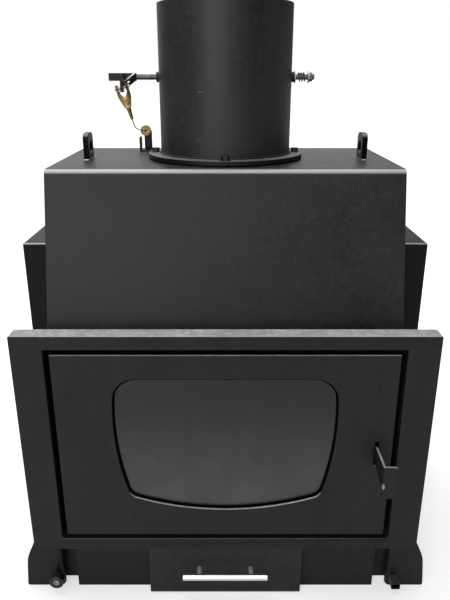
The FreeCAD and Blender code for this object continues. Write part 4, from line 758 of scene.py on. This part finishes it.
class Bench:
    """Modelling steps that the sub-assemblies share, done with Blender's own operators."""

    MERGE = 1e-5
    FLAT_ANGLE = 0.6
    BEVEL_STEPS = 2

    @staticmethod
    def clear() -> None:
        """Leave edit mode and deselect everything."""
        if bpy.context.mode != "OBJECT":
            bpy.ops.object.mode_set(mode="OBJECT")
        bpy.ops.object.select_all(action="DESELECT")

    @classmethod
    def pick(cls, piece: Object) -> None:
        """Make one object the only selected and active one.

        Args:
            piece: the object.
        """
        cls.clear()
        piece.select_set(True)
        bpy.context.view_layer.objects.active = piece

    @classmethod
    def named(cls, name: str) -> Object:
        """Name the primitive that was just added and put its place into its mesh.

        Args:
            name: the piece's name.

        Returns:
            The piece.
        """
        piece = bpy.context.active_object
        piece.name = name
        piece.data.name = name
        cls.pick(piece)
        bpy.ops.object.transform_apply(location=True, rotation=True, scale=True)
        return piece

    @classmethod
    def disc(cls, name: str, centre: Sequence[float], radius: float, depth: float, sides: int,
             turn: Sequence[float] = ORIGIN) -> Object:
        """Add a round bar, ready to be shaped.

        Args:
            name: the piece's name.
            centre: the bar's middle.
            radius: the bar's radius.
            depth: the bar's length.
            sides: the number of flats round it.
            turn: its rotation from upright, in radians.

        Returns:
            The piece.
        """
        cls.clear()
        bpy.ops.mesh.primitive_cylinder_add(vertices=sides, radius=radius, depth=depth, location=centre,
                                            rotation=turn)
        return cls.named(name)

    @classmethod
    def slab(cls, name: str, low: Point, high: Point) -> Object:
        """Add a block between two corners, ready to be shaped.

        Args:
            name: the piece's name.
            low: the lowest corner.
            high: the highest corner.

        Returns:
            The piece.
        """
        centre = [(a + b) / 2 for a, b in zip(low, high)]
        sizes = [b - a for a, b in zip(low, high)]
        cls.clear()
        bpy.ops.mesh.primitive_cube_add(size=1.0, location=centre, scale=sizes)
        return cls.named(name)

    @classmethod
    def select(cls, piece: Object, part: Part, test: PairTest) -> None:
        """Enter edit mode with the faces or edges selected that pass a test.

        Args:
            piece: the mesh object.
            part: faces or edges.
            test: takes a face's middle and its normal, or an edge's two ends.
        """
        cls.pick(piece)
        bpy.ops.object.mode_set(mode="EDIT")
        bpy.ops.mesh.select_mode(type=part.value)
        bpy.ops.mesh.select_all(action="DESELECT")
        bpy.ops.object.mode_set(mode="OBJECT")
        mesh = piece.data
        if part is Part.FACES:
            for face in mesh.polygons:
                face.select = test(face.center, face.normal)
        else:
            for edge in mesh.edges:
                edge.select = test(*(mesh.vertices[index].co for index in edge.vertices))
        bpy.ops.object.mode_set(mode="EDIT")

    @classmethod
    def step(cls, piece: Object, test: PairTest, rim: float, shift: Point = ORIGIN) -> None:
        """Inset faces by a rim and move what is inside it.

        Args:
            piece: the mesh object.
            test: takes a face's middle and its normal.
            rim: the rim's width.
            shift: how far the inner faces move.
        """
        cls.select(piece, Part.FACES, test)
        bpy.ops.mesh.inset(thickness=rim)
        bpy.ops.transform.translate(value=shift)
        bpy.ops.object.mode_set(mode="OBJECT")

    @classmethod
    def apply(cls, piece: Object, kind: str, **values: object) -> None:
        """Add a modifier and apply it.

        Args:
            piece: the mesh object.
            kind: the modifier's type.
            values: the modifier's settings.
        """
        cls.pick(piece)
        made = piece.modifiers.new(kind.title(), kind)
        for key, value in values.items():
            setattr(made, key, value)
        bpy.ops.object.modifier_apply(modifier=made.name)

    @classmethod
    def soften(cls, piece: Object, width: float, angle: float = SMOOTH_ANGLE) -> None:
        """Round a piece's sharp edges and shade it smooth.

        Args:
            piece: the mesh object.
            width: the bevel's width.
            angle: the least angle of an edge that is rounded, in degrees.
        """
        cls.apply(piece, "BEVEL", width=width, segments=cls.BEVEL_STEPS, limit_method="ANGLE",
                  angle_limit=math.radians(angle), use_clamp_overlap=True, miter_outer="MITER_ARC")
        cls.pick(piece)
        bpy.ops.object.shade_smooth_by_angle(angle=math.radians(angle))
        cls.apply(piece, "WEIGHTED_NORMAL", mode="FACE_AREA", weight=100, keep_sharp=True)

    @classmethod
    def skin(cls, node: str, width: float, angle: float, apart: PairTest | None) -> Object:
        """Model a node's finished shape: a copy of it, merged, cleaned and rounded at its edges.

        Args:
            node: the CAD node that the piece stands for.
            width: the rounding's width.
            angle: the least angle of an edge that is rounded, in degrees.
            apart: finds the faces of a solid that touches its neighbours and isn't merged with them.

        Returns:
            The piece.
        """
        piece = cls.copy(bpy.data.objects[node], f"{node}_skin")
        if piece.data.has_custom_normals:
            bpy.ops.mesh.customdata_custom_splitnormals_clear()
        for own in (True, False):
            cls.select(piece, Part.FACES,
                       lambda centre, normal: (apart is None or apart(centre, normal)) == own)
            bpy.ops.mesh.remove_doubles(threshold=cls.MERGE)
        bpy.ops.mesh.select_all(action="SELECT")
        bpy.ops.mesh.dissolve_limited(angle_limit=math.radians(cls.FLAT_ANGLE))
        bpy.ops.object.mode_set(mode="OBJECT")
        cls.soften(piece, width, angle)
        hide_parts(node)
        return piece

    @classmethod
    def copy(cls, piece: Object, name: str, shift: Point = ORIGIN) -> Object:
        """Copy a piece, mesh and all, in its place or to another one.

        Args:
            piece: the piece.
            name: the copy's name.
            shift: how far the copy stands from it.

        Returns:
            The copy.
        """
        made = bpy.data.objects.new(name, piece.data.copy())
        bpy.context.scene.collection.objects.link(made)
        cls.pick(made)
        made.location = shift
        bpy.ops.object.transform_apply(location=True, rotation=False, scale=False)
        return made

    @classmethod
    def merge(cls, pieces: Sequence[Object], name: str) -> Object:
        """Join several objects into one piece.

        Args:
            pieces: the objects.
            name: the piece's name.

        Returns:
            The piece.
        """
        cls.clear()
        for piece in pieces:
            piece.select_set(True)
        bpy.context.view_layer.objects.active = pieces[0]
        bpy.ops.object.join()
        pieces[0].name = name
        return pieces[0]

    @staticmethod
    def coat(piece: Object, finish: Finish) -> None:
        """Give a mesh object one finish alone."""
        piece.data.materials.clear()
        piece.data.materials.append(finish.material())

    @classmethod
    def dress(cls, piece: Object, finish: Finish, body: Body | None) -> None:
        """Give a piece its finish and the body that it rides on.

        Args:
            piece: the mesh object.
            finish: what it is coated with or made of.
            body: the body, or nothing where the piece bends between two.
        """
        cls.coat(piece, finish)
        if body is not None:
            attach(piece, body.value)
        LOG.info("piece %s", piece.name)


@dataclass(frozen=True)
class Line:
    """A smooth NURBS line, and the tube that follows it."""

    points: Sequence[Point]
    closed: bool = False
    order: int = 3
    path_steps: int = 24
    merge: float = 1e-6
    smooth_angle: float = 50.0

    def curve(self, name: str, radius: float, sides: int, steps: int) -> Object:
        """Make the curve object.

        Args:
            name: its name.
            radius: the tube's radius, or 0 for a bare line.
            sides: the steps round half the tube.
            steps: the steps between two control points.

        Returns:
            The curve object.
        """
        data = bpy.data.curves.new(name, "CURVE")
        data.dimensions = "3D"
        data.bevel_depth = radius
        data.bevel_resolution = sides
        data.use_fill_caps = not self.closed
        data.resolution_u = steps
        spline = data.splines.new("NURBS")
        spline.points.add(len(self.points) - 1)
        for target, point in zip(spline.points, self.points):
            target.co = (*point, 1.0)
        spline.order_u = self.order
        spline.use_endpoint_u = not self.closed
        spline.use_cyclic_u = self.closed
        made = bpy.data.objects.new(name, data)
        bpy.context.scene.collection.objects.link(made)
        return made

    def path(self) -> list[Vector]:
        """Read the points along the bare line.

        Returns:
            The points in order.
        """
        bare = self.curve("bare_line", 0.0, 0, self.path_steps)
        bpy.context.view_layer.update()
        mesh = bpy.data.meshes.new_from_object(bare.evaluated_get(bpy.context.evaluated_depsgraph_get()))
        points = [vertex.co.copy() for vertex in mesh.vertices]
        bpy.data.objects.remove(bare)
        bpy.data.meshes.remove(mesh)
        return points

    def tube(self, name: str, radius: float, sides: int, steps: int) -> Object:
        """Make a mesh tube along the line.

        Args:
            name: the piece's name.
            radius: the tube's radius.
            sides: the steps round half the tube.
            steps: the steps between two control points.

        Returns:
            The mesh piece.
        """
        Bench.pick(self.curve(name, radius, sides, steps))
        bpy.ops.object.convert(target="MESH")
        piece = bpy.context.active_object
        piece.name = name
        Bench.pick(piece)
        bpy.ops.object.mode_set(mode="EDIT")
        bpy.ops.mesh.select_all(action="SELECT")
        bpy.ops.mesh.remove_doubles(threshold=self.merge)
        bpy.ops.mesh.normals_make_consistent(inside=False)
        bpy.ops.object.mode_set(mode="OBJECT")
        bpy.ops.object.shade_smooth_by_angle(angle=math.radians(self.smooth_angle))
        return piece

    def length(self) -> float:
        """Measure the line."""
        points = self.path()
        return sum((b - a).length for a, b in zip(points, points[1:]))


@dataclass(frozen=True)
class Lamp:
    """A square soft lamp."""

    name: str
    place: Point
    aim: Point
    size: float
    power: float

    def hang(self) -> None:
        """Hang the lamp and turn it to its aim."""
        data = bpy.data.lights.new(self.name, "AREA")
        data.size = self.size
        data.energy = self.power
        made = bpy.data.objects.new(self.name, data)
        made.location = self.place
        made.rotation_euler = (Vector(self.aim) - Vector(self.place)).to_track_quat("-Z", "Y").to_euler()
        bpy.context.scene.collection.objects.link(made)


@dataclass
class Studio:
    """Camera, floor, world and lamps."""

    eye: Point = (-0.0005, -1.137, 0.932)
    pitch: float = 20.1
    lens: float = 37.03
    sensor: float = 36.0
    lamps: tuple[Lamp, ...] = (Lamp("overhead", (-0.35, 0.35, 2.9), (0.0, 0.1, 0.6), 2.6, 44.0),
                               Lamp("key", (-1.0, -2.8, 1.5), (0.0, 0.0, 0.8), 1.5, 21.0))
    ambient: float = 0.18
    side_range: tuple[float, float] = (0.35, 0.85)
    side_dim: float = 0.9
    soft_side_dim: float = 0.3
    right_weight: float = 2.0
    floor_half: float = 40.0
    floor_colours: tuple[Colour, Colour] = (grey(0.90), grey(0.94))
    floor_rough: float = 0.8
    floor_speck: float = 900.0
    floor_lift: float = 0.60
    floor_fade: tuple[float, float] = (0.45, 1.3)
    floor_mirrored: float = 0.35

    def camera(self) -> None:
        """Place the camera where the photograph was taken."""
        data = bpy.data.cameras.new("photo_camera")
        data.lens = self.lens
        data.sensor_width = self.sensor
        data.sensor_fit = "AUTO"
        made = bpy.data.objects.new("photo_camera", data)
        made.location = self.eye
        made.rotation_euler = (math.radians(90.0 - self.pitch), 0.0, 0.0)
        bpy.context.scene.collection.objects.link(made)
        bpy.context.scene.camera = made

    def world(self) -> None:
        """Light softly all round, dimmer from the sides, with a white background."""
        made = bpy.data.worlds.new("studio")
        made.use_nodes = True
        made.node_tree.nodes.clear()
        pen = Shader(made.node_tree)
        path = pen.node("ShaderNodeLightPath").outputs
        across = pen.split(pen.node("ShaderNodeTexCoord").outputs["Generated"])["X"]
        sideways = pen.most(pen.times(across, self.right_weight), pen.times(across, -1.0))
        dim = pen.span(sideways, *self.side_range, 1.0, 1.0 - self.side_dim)
        soft_dim = pen.span(sideways, *self.side_range, 1.0, 1.0 - self.soft_side_dim)
        seen = pen.most(path["Is Camera Ray"], path["Is Transmission Ray"])
        lit = pen.most(pen.times(path["Is Glossy Ray"], dim), pen.times(soft_dim, self.ambient))
        ground = pen.node("ShaderNodeBackground")
        pen.fill(ground.inputs, {"Color": WHITE, "Strength": pen.most(seen, lit)})
        pen.link(ground.outputs[0], pen.node("ShaderNodeOutputWorld").inputs[0])
        bpy.context.scene.world = made

    def floor(self) -> None:
        """Lay the pale floor, which whitens away from the stove."""
        Bench.clear()
        bpy.ops.mesh.primitive_plane_add(size=2 * self.floor_half, location=ORIGIN)
        piece = Bench.named("floor")
        made = bpy.data.materials.new("pale_floor")
        made.use_nodes = True
        pen = Shader(made.node_tree)
        speck = pen.noise(pen.place(), self.floor_speck, 2.0)
        path = pen.node("ShaderNodeLightPath").outputs
        seen = pen.most(path["Is Camera Ray"], pen.times(path["Is Glossy Ray"], self.floor_mirrored))
        seen = pen.most(seen, path["Is Transmission Ray"])
        far = pen.vector("LENGTH", pen.place())["Value"]
        lift = pen.span(far, *self.floor_fade, self.floor_lift, 1.0)
        pen.fill(made.node_tree.nodes["Principled BSDF"].inputs,
                 {"Base Color": pen.mix(speck, *self.floor_colours), "Roughness": self.floor_rough,
                  "Emission Color": WHITE, "Emission Strength": pen.times(seen, lift)})
        piece.data.materials.append(made)

    def build(self) -> None:
        """Set up the whole studio."""
        self.camera()
        self.world()
        self.floor()
        for lamp in self.lamps:
            lamp.hang()
        bpy.context.scene.view_settings.view_transform = "Standard"


@dataclass(frozen=True)
class Skin:
    """How one node is dressed: the finish, its body and the rounding of its edges."""

    node: str
    finish: Finish
    body: Body = Body.STOVE
    edge: float = 0.0
    angle: float = SMOOTH_ANGLE
    apart: PairTest | None = None

    def build(self) -> None:
        """Round the node's edges in a finished copy, or coat the node itself where no edge is rounded."""
        if self.edge > 0:
            Bench.dress(Bench.skin(self.node, self.edge, self.angle, self.apart), self.finish, self.body)
        else:
            Bench.coat(bpy.data.objects[self.node], self.finish)
            LOG.info("node %s", self.node)


@dataclass
class Assembly:
    """A sub-assembly: the CAD nodes that it dresses, and the pieces that it adds."""

    skins: tuple[Skin, ...] = ()

    def build(self) -> None:
        """Dress the nodes, then add the pieces."""
        for skin in self.skins:
            skin.build()
        self.pieces()

    def pieces(self) -> None:
        """Add no piece, unless a sub-assembly says otherwise."""


def middle(node: str) -> Point:
    """Give the middle of a node's box."""
    return tuple((low + high) / 2 for low, high in zip(*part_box(node)))


@dataclass(frozen=True)
class Round:
    """A turned or hexagonal piece: an upright disc with softened edges, whose top may be stepped."""

    radius: float
    height: float
    sides: int
    lift: float
    rim: float = 0.0
    rise: float = 0.0
    edge: float = FINE_EDGE

    def make(self, name: str, foot: Sequence[float]) -> Object:
        """Make the piece above a point.

        Args:
            name: its name.
            foot: the point.

        Returns:
            The piece.
        """
        x, y, z = foot
        piece = Bench.disc(name, (x, y, z + self.lift), self.radius, self.height, self.sides)
        if self.rim > 0:
            Bench.step(piece, lambda centre, normal: normal.z > SQUARE_ON, self.rim, (0.0, 0.0, self.rise))
        Bench.soften(piece, self.edge)
        return piece


@dataclass
class DamperCable(Assembly):
    """The control cable, its sheath down the back and the sheath's clips."""

    route: tuple[Point, ...] = (
        (-0.1798, 0.089, 0.8583), (-0.1748, 0.089, 0.8412), (-0.1759, 0.1146, 0.833),
        (-0.1741, 0.1594, 0.826), (-0.168, 0.193, 0.82), (-0.168, 0.229, 0.82))
    sheath_route: tuple[Point, ...] = (
        (-0.168, 0.229, 0.82), (-0.168, 0.2633, 0.82), (-0.168, 0.2633, 0.752), (-0.168, 0.2633, 0.457),
        (-0.168, 0.2633, 0.26), (-0.319, 0.2633, 0.13), (-0.319, 0.2633, 0.03), (-0.319, 0.198, 0.03))
    bend_start: Point = (-0.168, 0.211, 0.82)
    bend_end: Point = (-0.1773, 0.089, 0.8498)
    wire_radius: float = 0.001
    wire_sides: int = 4
    sheath_radius: float = 0.003
    sheath_sides: int = 6
    steps: int = 24
    clip_heights: tuple[float, ...] = (0.70, 0.50)
    clip_beside: int = 3
    clip_gap: float = 0.0001
    strap_radius: float = 0.0042
    strap_width: float = 0.012
    strap_wall: float = 0.0011
    strap_sides: int = 24
    foot_from: float = 0.002
    foot_to: float = 0.018
    foot_thick: float = 0.0014
    foot_edge: float = 0.0005
    screw_at: tuple[float, float] = (0.0115, 0.0022)
    screw_radius: float = 0.0038
    screw_height: float = 0.0024
    screw_sides: int = 20
    screw_rim: float = 0.0016
    screw_sunk: float = 0.0008

    def pieces(self) -> None:
        """Lay the wire and the sheath, and clip the sheath to the back."""
        line = Line(self.route)
        wire = line.tube("cable_wire", self.wire_radius, self.wire_sides, self.steps)
        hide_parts("control_cable")
        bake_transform(wire)
        Bench.dress(wire, WIRE, None)
        self.declare(wire, line, self.wire_radius)
        cover = Line(self.sheath_route)
        sheath = cover.tube("cable_cover", self.sheath_radius, self.sheath_sides, self.steps)
        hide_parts("cable_sheath")
        Bench.dress(sheath, PLASTIC, Body.STOVE)
        self.declare(sheath, cover, self.sheath_radius)
        for index, height in enumerate(self.clip_heights):
            self.clip(f"sheath_clip_{index + 1}", height)

    @staticmethod
    def declare(piece: Object, line: Line, radius: float) -> None:
        """Read the points along a cord's line and measure it, keeping neither.

        Args:
            piece: the mesh tube; not used.
            line: the line that it follows.
            radius: the tube's radius; not used.
        """
        path = line.path()
        line.length()

    def clip(self, name: str, height: float) -> None:
        """Bend a strap over the sheath, with a screw beside it.

        Args:
            name: the clip's name.
            height: where it sits on the back.
        """
        x, y, _ = self.sheath_route[self.clip_beside]
        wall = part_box("casing_wrap")[1][1] + self.clip_gap
        half = self.strap_width / 2
        strap = Bench.disc(name, (x, y, height), self.strap_radius, self.strap_width, self.strap_sides)
        foot = Bench.slab(f"{name}_foot", (x + self.foot_from, wall, height - half),
                          (x + self.foot_to, wall + self.foot_thick, height + half))
        Bench.soften(foot, self.foot_edge)
        along, out = self.screw_at
        screw = Bench.disc(f"{name}_screw", (x + along, wall + out, height), self.screw_radius,
                           self.screw_height, self.screw_sides, (math.pi / 2, 0.0, 0.0))
        Bench.step(screw, lambda centre, normal: normal.y > SQUARE_ON, self.screw_rim,
                   (0.0, -self.screw_sunk, 0.0))
        Bench.step(strap, lambda centre, normal: abs(normal.z) > SQUARE_ON, self.strap_wall)
        Bench.soften(strap, FINE_EDGE)
        Bench.dress(Bench.merge([strap, foot, screw], name), STEEL, Body.STOVE)


@dataclass
class FrictionEnd(Assembly):
    """The spring at the right end of the damper shaft."""

    coil: float = 0.0073
    wire: float = 0.00125
    turns: int = 3
    pitch: float = 0.0046
    first: float = 0.1373
    bend: float = 0.0025
    per_turn: int = 16
    order: int = 4
    sides: int = 4
    steps: int = 6

    def pieces(self) -> None:
        """Wind the spring as one wire with both ends turned towards the washers."""
        _, axis_y, axis_z = middle("damper_shaft")
        reach = self.coil / math.cos(math.pi / self.per_turn) ** 0.5
        last = self.first + self.pitch * self.turns
        start = [(x, axis_y + self.coil, axis_z - self.bend)
                 for x in (self.first - self.bend - 2 * self.wire, self.first - self.bend)]
        coil = [(self.first + self.pitch * index / self.per_turn,
                 axis_y + reach * math.cos(math.tau * index / self.per_turn),
                 axis_z + reach * math.sin(math.tau * index / self.per_turn))
                for index in range(self.turns * self.per_turn + 1)]
        end = [(x, axis_y + self.coil, axis_z + self.bend)
               for x in (last + self.bend, last + self.bend + 2 * self.wire)]
        line = Line(start + coil + end, order=self.order)
        spring = line.tube("friction_coil", self.wire, self.sides, self.steps)
        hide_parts("friction_spring")
        Bench.dress(spring, DARK_STEEL, Body.DAMPER)


@dataclass
class DoorSeal(Assembly):
    """The rope that the closed door presses on the front plate."""

    radius: float = 0.0043
    corner: float = 0.010
    inset: float = 0.005
    sides: int = 5
    steps: int = 10

    def pieces(self) -> None:
        """Lay the rope round the window, rounding its four corners."""
        box_low, box_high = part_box("door_rope_seal")
        left, right = box_low[0] + self.inset, box_high[0] - self.inset
        low, high = box_low[2] + self.inset, box_high[2] - self.inset
        _, y, _ = middle("door_rope_seal")
        points: list[Point] = []
        for x, z, turn_x, turn_z in ((left, low, 1, 1), (right, low, -1, 1), (right, high, -1, -1),
                                     (left, high, 1, -1)):
            upright = (x, y, z + turn_z * self.corner)
            level = (x + turn_x * self.corner, y, z)
            first, last = (upright, level) if turn_x * turn_z > 0 else (level, upright)
            points += [first, (x, y, z), last]
        rope = Line(points, closed=True).tube("seal_rope", self.radius, self.sides, self.steps)
        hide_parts("door_rope_seal")
        Bench.dress(rope, ROPE, Body.DOOR)


@dataclass
class Surround(Assembly):
    """Frame, front plate, casing, jackets, feet and the ash housing's front."""

    skins: tuple[Skin, ...] = (
        Skin("surround_frame", FRAME_PAINT, edge=0.0016),
        Skin("front_plate", GAP_SHADE_PLATE_PAINT, edge=0.0006),
        Skin("casing_front_top", TOP_PAINT, edge=0.0011),
        Skin("casing_wrap", PAINT, edge=0.0008),
        Skin("side_jacket_left", SHADED_JACKET_PAINT, edge=0.0010),
        Skin("side_jacket_right", SHADED_JACKET_PAINT, edge=0.0010),
        Skin("skid_left", PAINT, edge=0.0008),
        Skin("skid_right", PAINT, edge=0.0008),
        Skin("ash_front", PAINT, edge=0.0006),
        Skin("ash_housing", PAINT, edge=0.0006),
        Skin("lifting_lugs", LUG_PAINT, edge=0.0010),
        Skin("water_sockets", STEEL, edge=0.0008),
        Skin("rod_guides", PAINT, edge=0.0004),
        Skin("drawer_runners", STEEL, edge=0.0004))


@dataclass
class Door(Assembly):
    """The door leaf with its window, latch, back frame, clips and hinges."""

    skins: tuple[Skin, ...] = (
        Skin("door_panel", DOOR_PAINT, Body.DOOR, 0.0018),
        Skin("door_glass", GLASS, Body.DOOR, 0.0006),
        Skin("latch_lever", LATCH_PAINT, Body.LATCH, 0.0011),
        Skin("door_back_frame", INSIDE_PAINT, Body.DOOR, 0.0008),
        Skin("glass_gasket", BOARD, Body.DOOR),
        Skin("glass_clips", STEEL, Body.DOOR, 0.0004),
        Skin("hinge_lugs", PAINT, Body.DOOR, 0.0005),
        Skin("latch_pivot", STEEL, Body.DOOR, 0.0004),
        Skin("hinge_pins", STEEL, edge=0.0005),
        Skin("hinge_brackets", PAINT, edge=0.0005))


def back_brick(centre: Vector, normal: Vector) -> bool:
    """Tell the back brick's faces from those of the side bricks that it stands between.

    Args:
        centre: the face's middle.
        normal: the face's direction.

    Returns:
        Whether the face is the back brick's.
    """
    joint, nearness = 0.205, 1e-4
    inside = joint - abs(centre.x)
    return inside > nearness or (inside > -nearness and centre.x * normal.x > 0.0)


@dataclass
class FireSide(Assembly):
    """What lies behind the door: firebox, bricks, grate, baffle and smoke tubes."""

    skins: tuple[Skin, ...] = (
        Skin("firebox_wrap", INSIDE_PAINT),
        Skin("firebox_floor", INSIDE_PAINT),
        Skin("crown_plate", INSIDE_PAINT),
        Skin("tube_plate", INSIDE_PAINT),
        Skin("fire_tubes", INSIDE_PAINT),
        Skin("baffle_plate", IRON, edge=0.0008),
        Skin("fire_bricks", BRICK, edge=0.0016, apart=back_brick),
        Skin("grate", IRON, edge=0.0010))


@dataclass
class AshDrawer(Assembly):
    """The drawer front, its pan and its bar handle."""

    skins: tuple[Skin, ...] = (
        Skin("drawer_front", DRAWER_PAINT, Body.DRAWER, 0.0010),
        Skin("ash_pan", STEEL, Body.DRAWER, 0.0005),
        Skin("handle_bar", STAINLESS, Body.DRAWER, 0.0009),
        Skin("handle_posts", POST_STEEL, Body.DRAWER, 0.0004))


@dataclass
class Flue(Assembly):
    """The flue outlet with its flange, bolts and damper gear."""

    skins: tuple[Skin, ...] = (
        Skin("flue_pipe", FLUE_PAINT, edge=0.0010),
        Skin("flue_flange", FLANGE_PAINT, edge=0.0010),
        Skin("flange_gasket", BOARD),
        Skin("flange_bolts", BOLT_PAINT, edge=0.0008, angle=HEX_ANGLE),
        Skin("damper_bushes", PAINT, edge=0.0005),
        Skin("damper_disc", INSIDE_PAINT, Body.DAMPER, 0.0005),
        Skin("damper_saddles", INSIDE_PAINT, Body.DAMPER, 0.0004),
        Skin("damper_shaft", DARK_STEEL, Body.DAMPER, 0.0008),
        Skin("damper_crank", CRANK_PAINT, Body.DAMPER, 0.0007),
        Skin("cable_fork", BRASS, Body.DAMPER, 0.0013),
        Skin("fork_pin", STEEL, Body.DAMPER, FINE_EDGE),
        Skin("spring_washers", STEEL, Body.DAMPER, FINE_EDGE),
        Skin("shaft_nut", DARK_STEEL, Body.DAMPER, 0.0004, HEX_ANGLE),
        Skin("cable_guide", BRASS, edge=0.0006),
        Skin("cable_bracket", PAINT, edge=0.0005))
    bolt_circle: float = 0.136
    washer: Round = Round(0.0102, 0.0014, sides=40, lift=0.0006, rim=0.0012, rise=0.0002)
    bracket_hole: Point = (0.016, 0.010, 0.003)
    bracket_bolt: tuple[tuple[str, Round], ...] = (
        ("bracket_ring", Round(0.0062, 0.0014, sides=32, lift=0.0007)),
        ("bracket_head", Round(0.0056, 0.0040, sides=6, lift=0.0034, rim=0.0010, rise=0.0004)),
        ("bracket_stud", Round(0.0029, 0.0036, sides=24, lift=0.0064, edge=0.0005)))

    def pieces(self) -> None:
        """Add the bolts' washers and the bolt that holds the cable bracket."""
        self.washers()
        self.foot_bolt()

    def foot_bolt(self) -> None:
        """Bolt the cable bracket's foot to the top plate."""
        corner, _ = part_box("cable_bracket")
        foot = [start + away for start, away in zip(corner, self.bracket_hole)]
        parts = [part.make(name, foot) for name, part in self.bracket_bolt]
        Bench.dress(Bench.merge(parts, "bracket_bolt"), BOLT_PAINT, Body.STOVE)

    def washers(self) -> None:
        """Lay a flat washer under each bolt head: one is shaped, and the others are its copies."""
        x, y, _ = middle("flue_pipe")
        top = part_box("flue_flange")[1][2]
        made = [self.washer.make("flange_washer_1", (x + self.bolt_circle, y, top))]
        for index, (right, back) in enumerate(((0, 1), (-1, 0), (0, -1)), start=2):
            shift = ((right - 1) * self.bolt_circle, back * self.bolt_circle, 0.0)
            made.append(Bench.copy(made[0], f"flange_washer_{index}", shift))
        for washer in made:
            Bench.dress(washer, BOLT_PAINT, Body.STOVE)


@dataclass
class Controls(Assembly):
    """The damper's pull knob and the air control."""

    skins: tuple[Skin, ...] = (
        Skin("pull_knob", PLASTIC, Body.PULL, 0.0014),
        Skin("knob_screw", STEEL, Body.PULL, 0.0005),
        Skin("pull_rod", DARK_STEEL, Body.PULL),
        Skin("air_rod", ROD_PAINT, Body.AIR, 0.0006),
        Skin("air_shutter", PAINT, Body.AIR, 0.0005))


@dataclass(frozen=True)
class Weld:
    """Weld beads: rippled rounds along seams."""

    radius: float = 0.0024
    ripple: float = 0.0009
    pitch: float = 0.0042
    sides: int = 10
    ring_steps: int = 240
    least_cuts: int = 8

    def ripples(self, piece: Object) -> None:
        """Roughen a bead's surface.

        Args:
            piece: the bead.
        """
        grain = bpy.data.textures.new(f"{piece.name}_ripple", "CLOUDS")
        grain.noise_scale = self.pitch
        Bench.apply(piece, "DISPLACE", texture=grain, strength=self.ripple, mid_level=0.5,
                    texture_coords="LOCAL")
        Bench.pick(piece)
        bpy.ops.object.shade_smooth()

    def straight(self, name: str, start: Point, end: Point) -> Object:
        """Lay a straight bead.

        Args:
            name: the bead's name.
            start: one end of the seam.
            end: the other end.

        Returns:
            The bead.
        """
        first, last = Vector(start), Vector(end)
        run = last - first
        along = run.normalized()
        piece = Bench.disc(name, (first + last) / 2, self.radius, run.length, self.sides,
                           run.to_track_quat("Z", "Y").to_euler())
        Bench.select(piece, Part.EDGES, lambda a, b: abs((b - a).normalized().dot(along)) > SQUARE_ON)
        bpy.ops.mesh.subdivide(number_cuts=max(self.least_cuts, int(run.length / self.pitch)))
        bpy.ops.object.mode_set(mode="OBJECT")
        self.ripples(piece)
        return piece

    def ring(self, name: str, centre: Point, radius: float) -> Object:
        """Lay a bead round an upright pipe.

        Args:
            name: the bead's name.
            centre: the ring's middle.
            radius: the ring's radius.

        Returns:
            The bead.
        """
        Bench.clear()
        bpy.ops.mesh.primitive_torus_add(location=centre, major_radius=radius, minor_radius=self.radius,
                                         major_segments=self.ring_steps, minor_segments=self.sides)
        piece = Bench.named(name)
        self.ripples(piece)
        return piece


@dataclass
class Welds(Assembly):
    """All the seams that show a bead."""

    bead: Weld = Weld()
    fine_bead: Weld = Weld(radius=0.0016, ripple=0.0006, pitch=0.003)
    flue_lift: float = 0.0005
    flue_gap: float = 0.0004
    lug_plate: float = 0.010
    lug_ends: float = 0.002
    lug_gap: float = 0.0002
    jacket_gap: float = 0.0005
    jacket_ends: tuple[float, float] = (0.003, 0.007)

    def seam(self, name: str, x: float, depth: tuple[float, float], height: float) -> Object:
        """Lay a fine bead from front to back, by its place across, its two ends and its height."""
        return self.fine_bead.straight(name, *((x, y, height) for y in depth))

    def flue(self) -> Object:
        """Lay the bead round the flue pipe's foot.

        Returns:
            The bead.
        """
        low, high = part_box("flue_pipe")
        x, y, _ = middle("flue_pipe")
        radius = (high[0] - low[0]) / 2 + self.flue_gap
        return self.bead.ring("flue_weld", (x, y, low[2] + self.flue_lift), radius)

    def pieces(self) -> None:
        """Lay the beads at the flue, the lugs and the jackets."""
        (_, lug_front, top), (far, lug_back, _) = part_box("lifting_lugs")
        (inner, front, _), (_, back, jacket_top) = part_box("side_jacket_right")
        near = far - self.lug_plate
        sides = {"left": -1.0, "right": 1.0}
        made = [self.flue()]
        for index, x in enumerate((-far, -near, near, far), start=1):
            depth = (lug_front + self.lug_ends, lug_back - self.lug_ends)
            made.append(self.seam(f"lug_weld_{index}", x, depth, top))
        for name, side in sides.items():
            depth = (front + self.jacket_ends[0], back - self.jacket_ends[1])
            across = side * (inner + self.jacket_gap)
            made.append(self.seam(f"jacket_top_weld_{name}", across, depth, jacket_top))
        for piece in made:
            Bench.dress(piece, PAINT, Body.STOVE)
        for name, side in sides.items():
            ends = ((side * x, lug_front - self.lug_gap, top) for x in (near, far))
            Bench.dress(self.fine_bead.straight(f"lug_front_weld_{name}", *ends), STEEL, Body.STOVE)


def main() -> None:
    """Build the studio and every sub-assembly in order."""
    logging.basicConfig(level=logging.INFO)
    Studio().build()
    for assembly in (DamperCable(), FrictionEnd(), DoorSeal(), Surround(), Door(), FireSide(), AshDrawer(),
                     Flue(), Controls(), Welds()):
        LOG.info("sub-assembly %s", type(assembly).__name__)
        assembly.build()


if __name__ == "__main__":
    main()
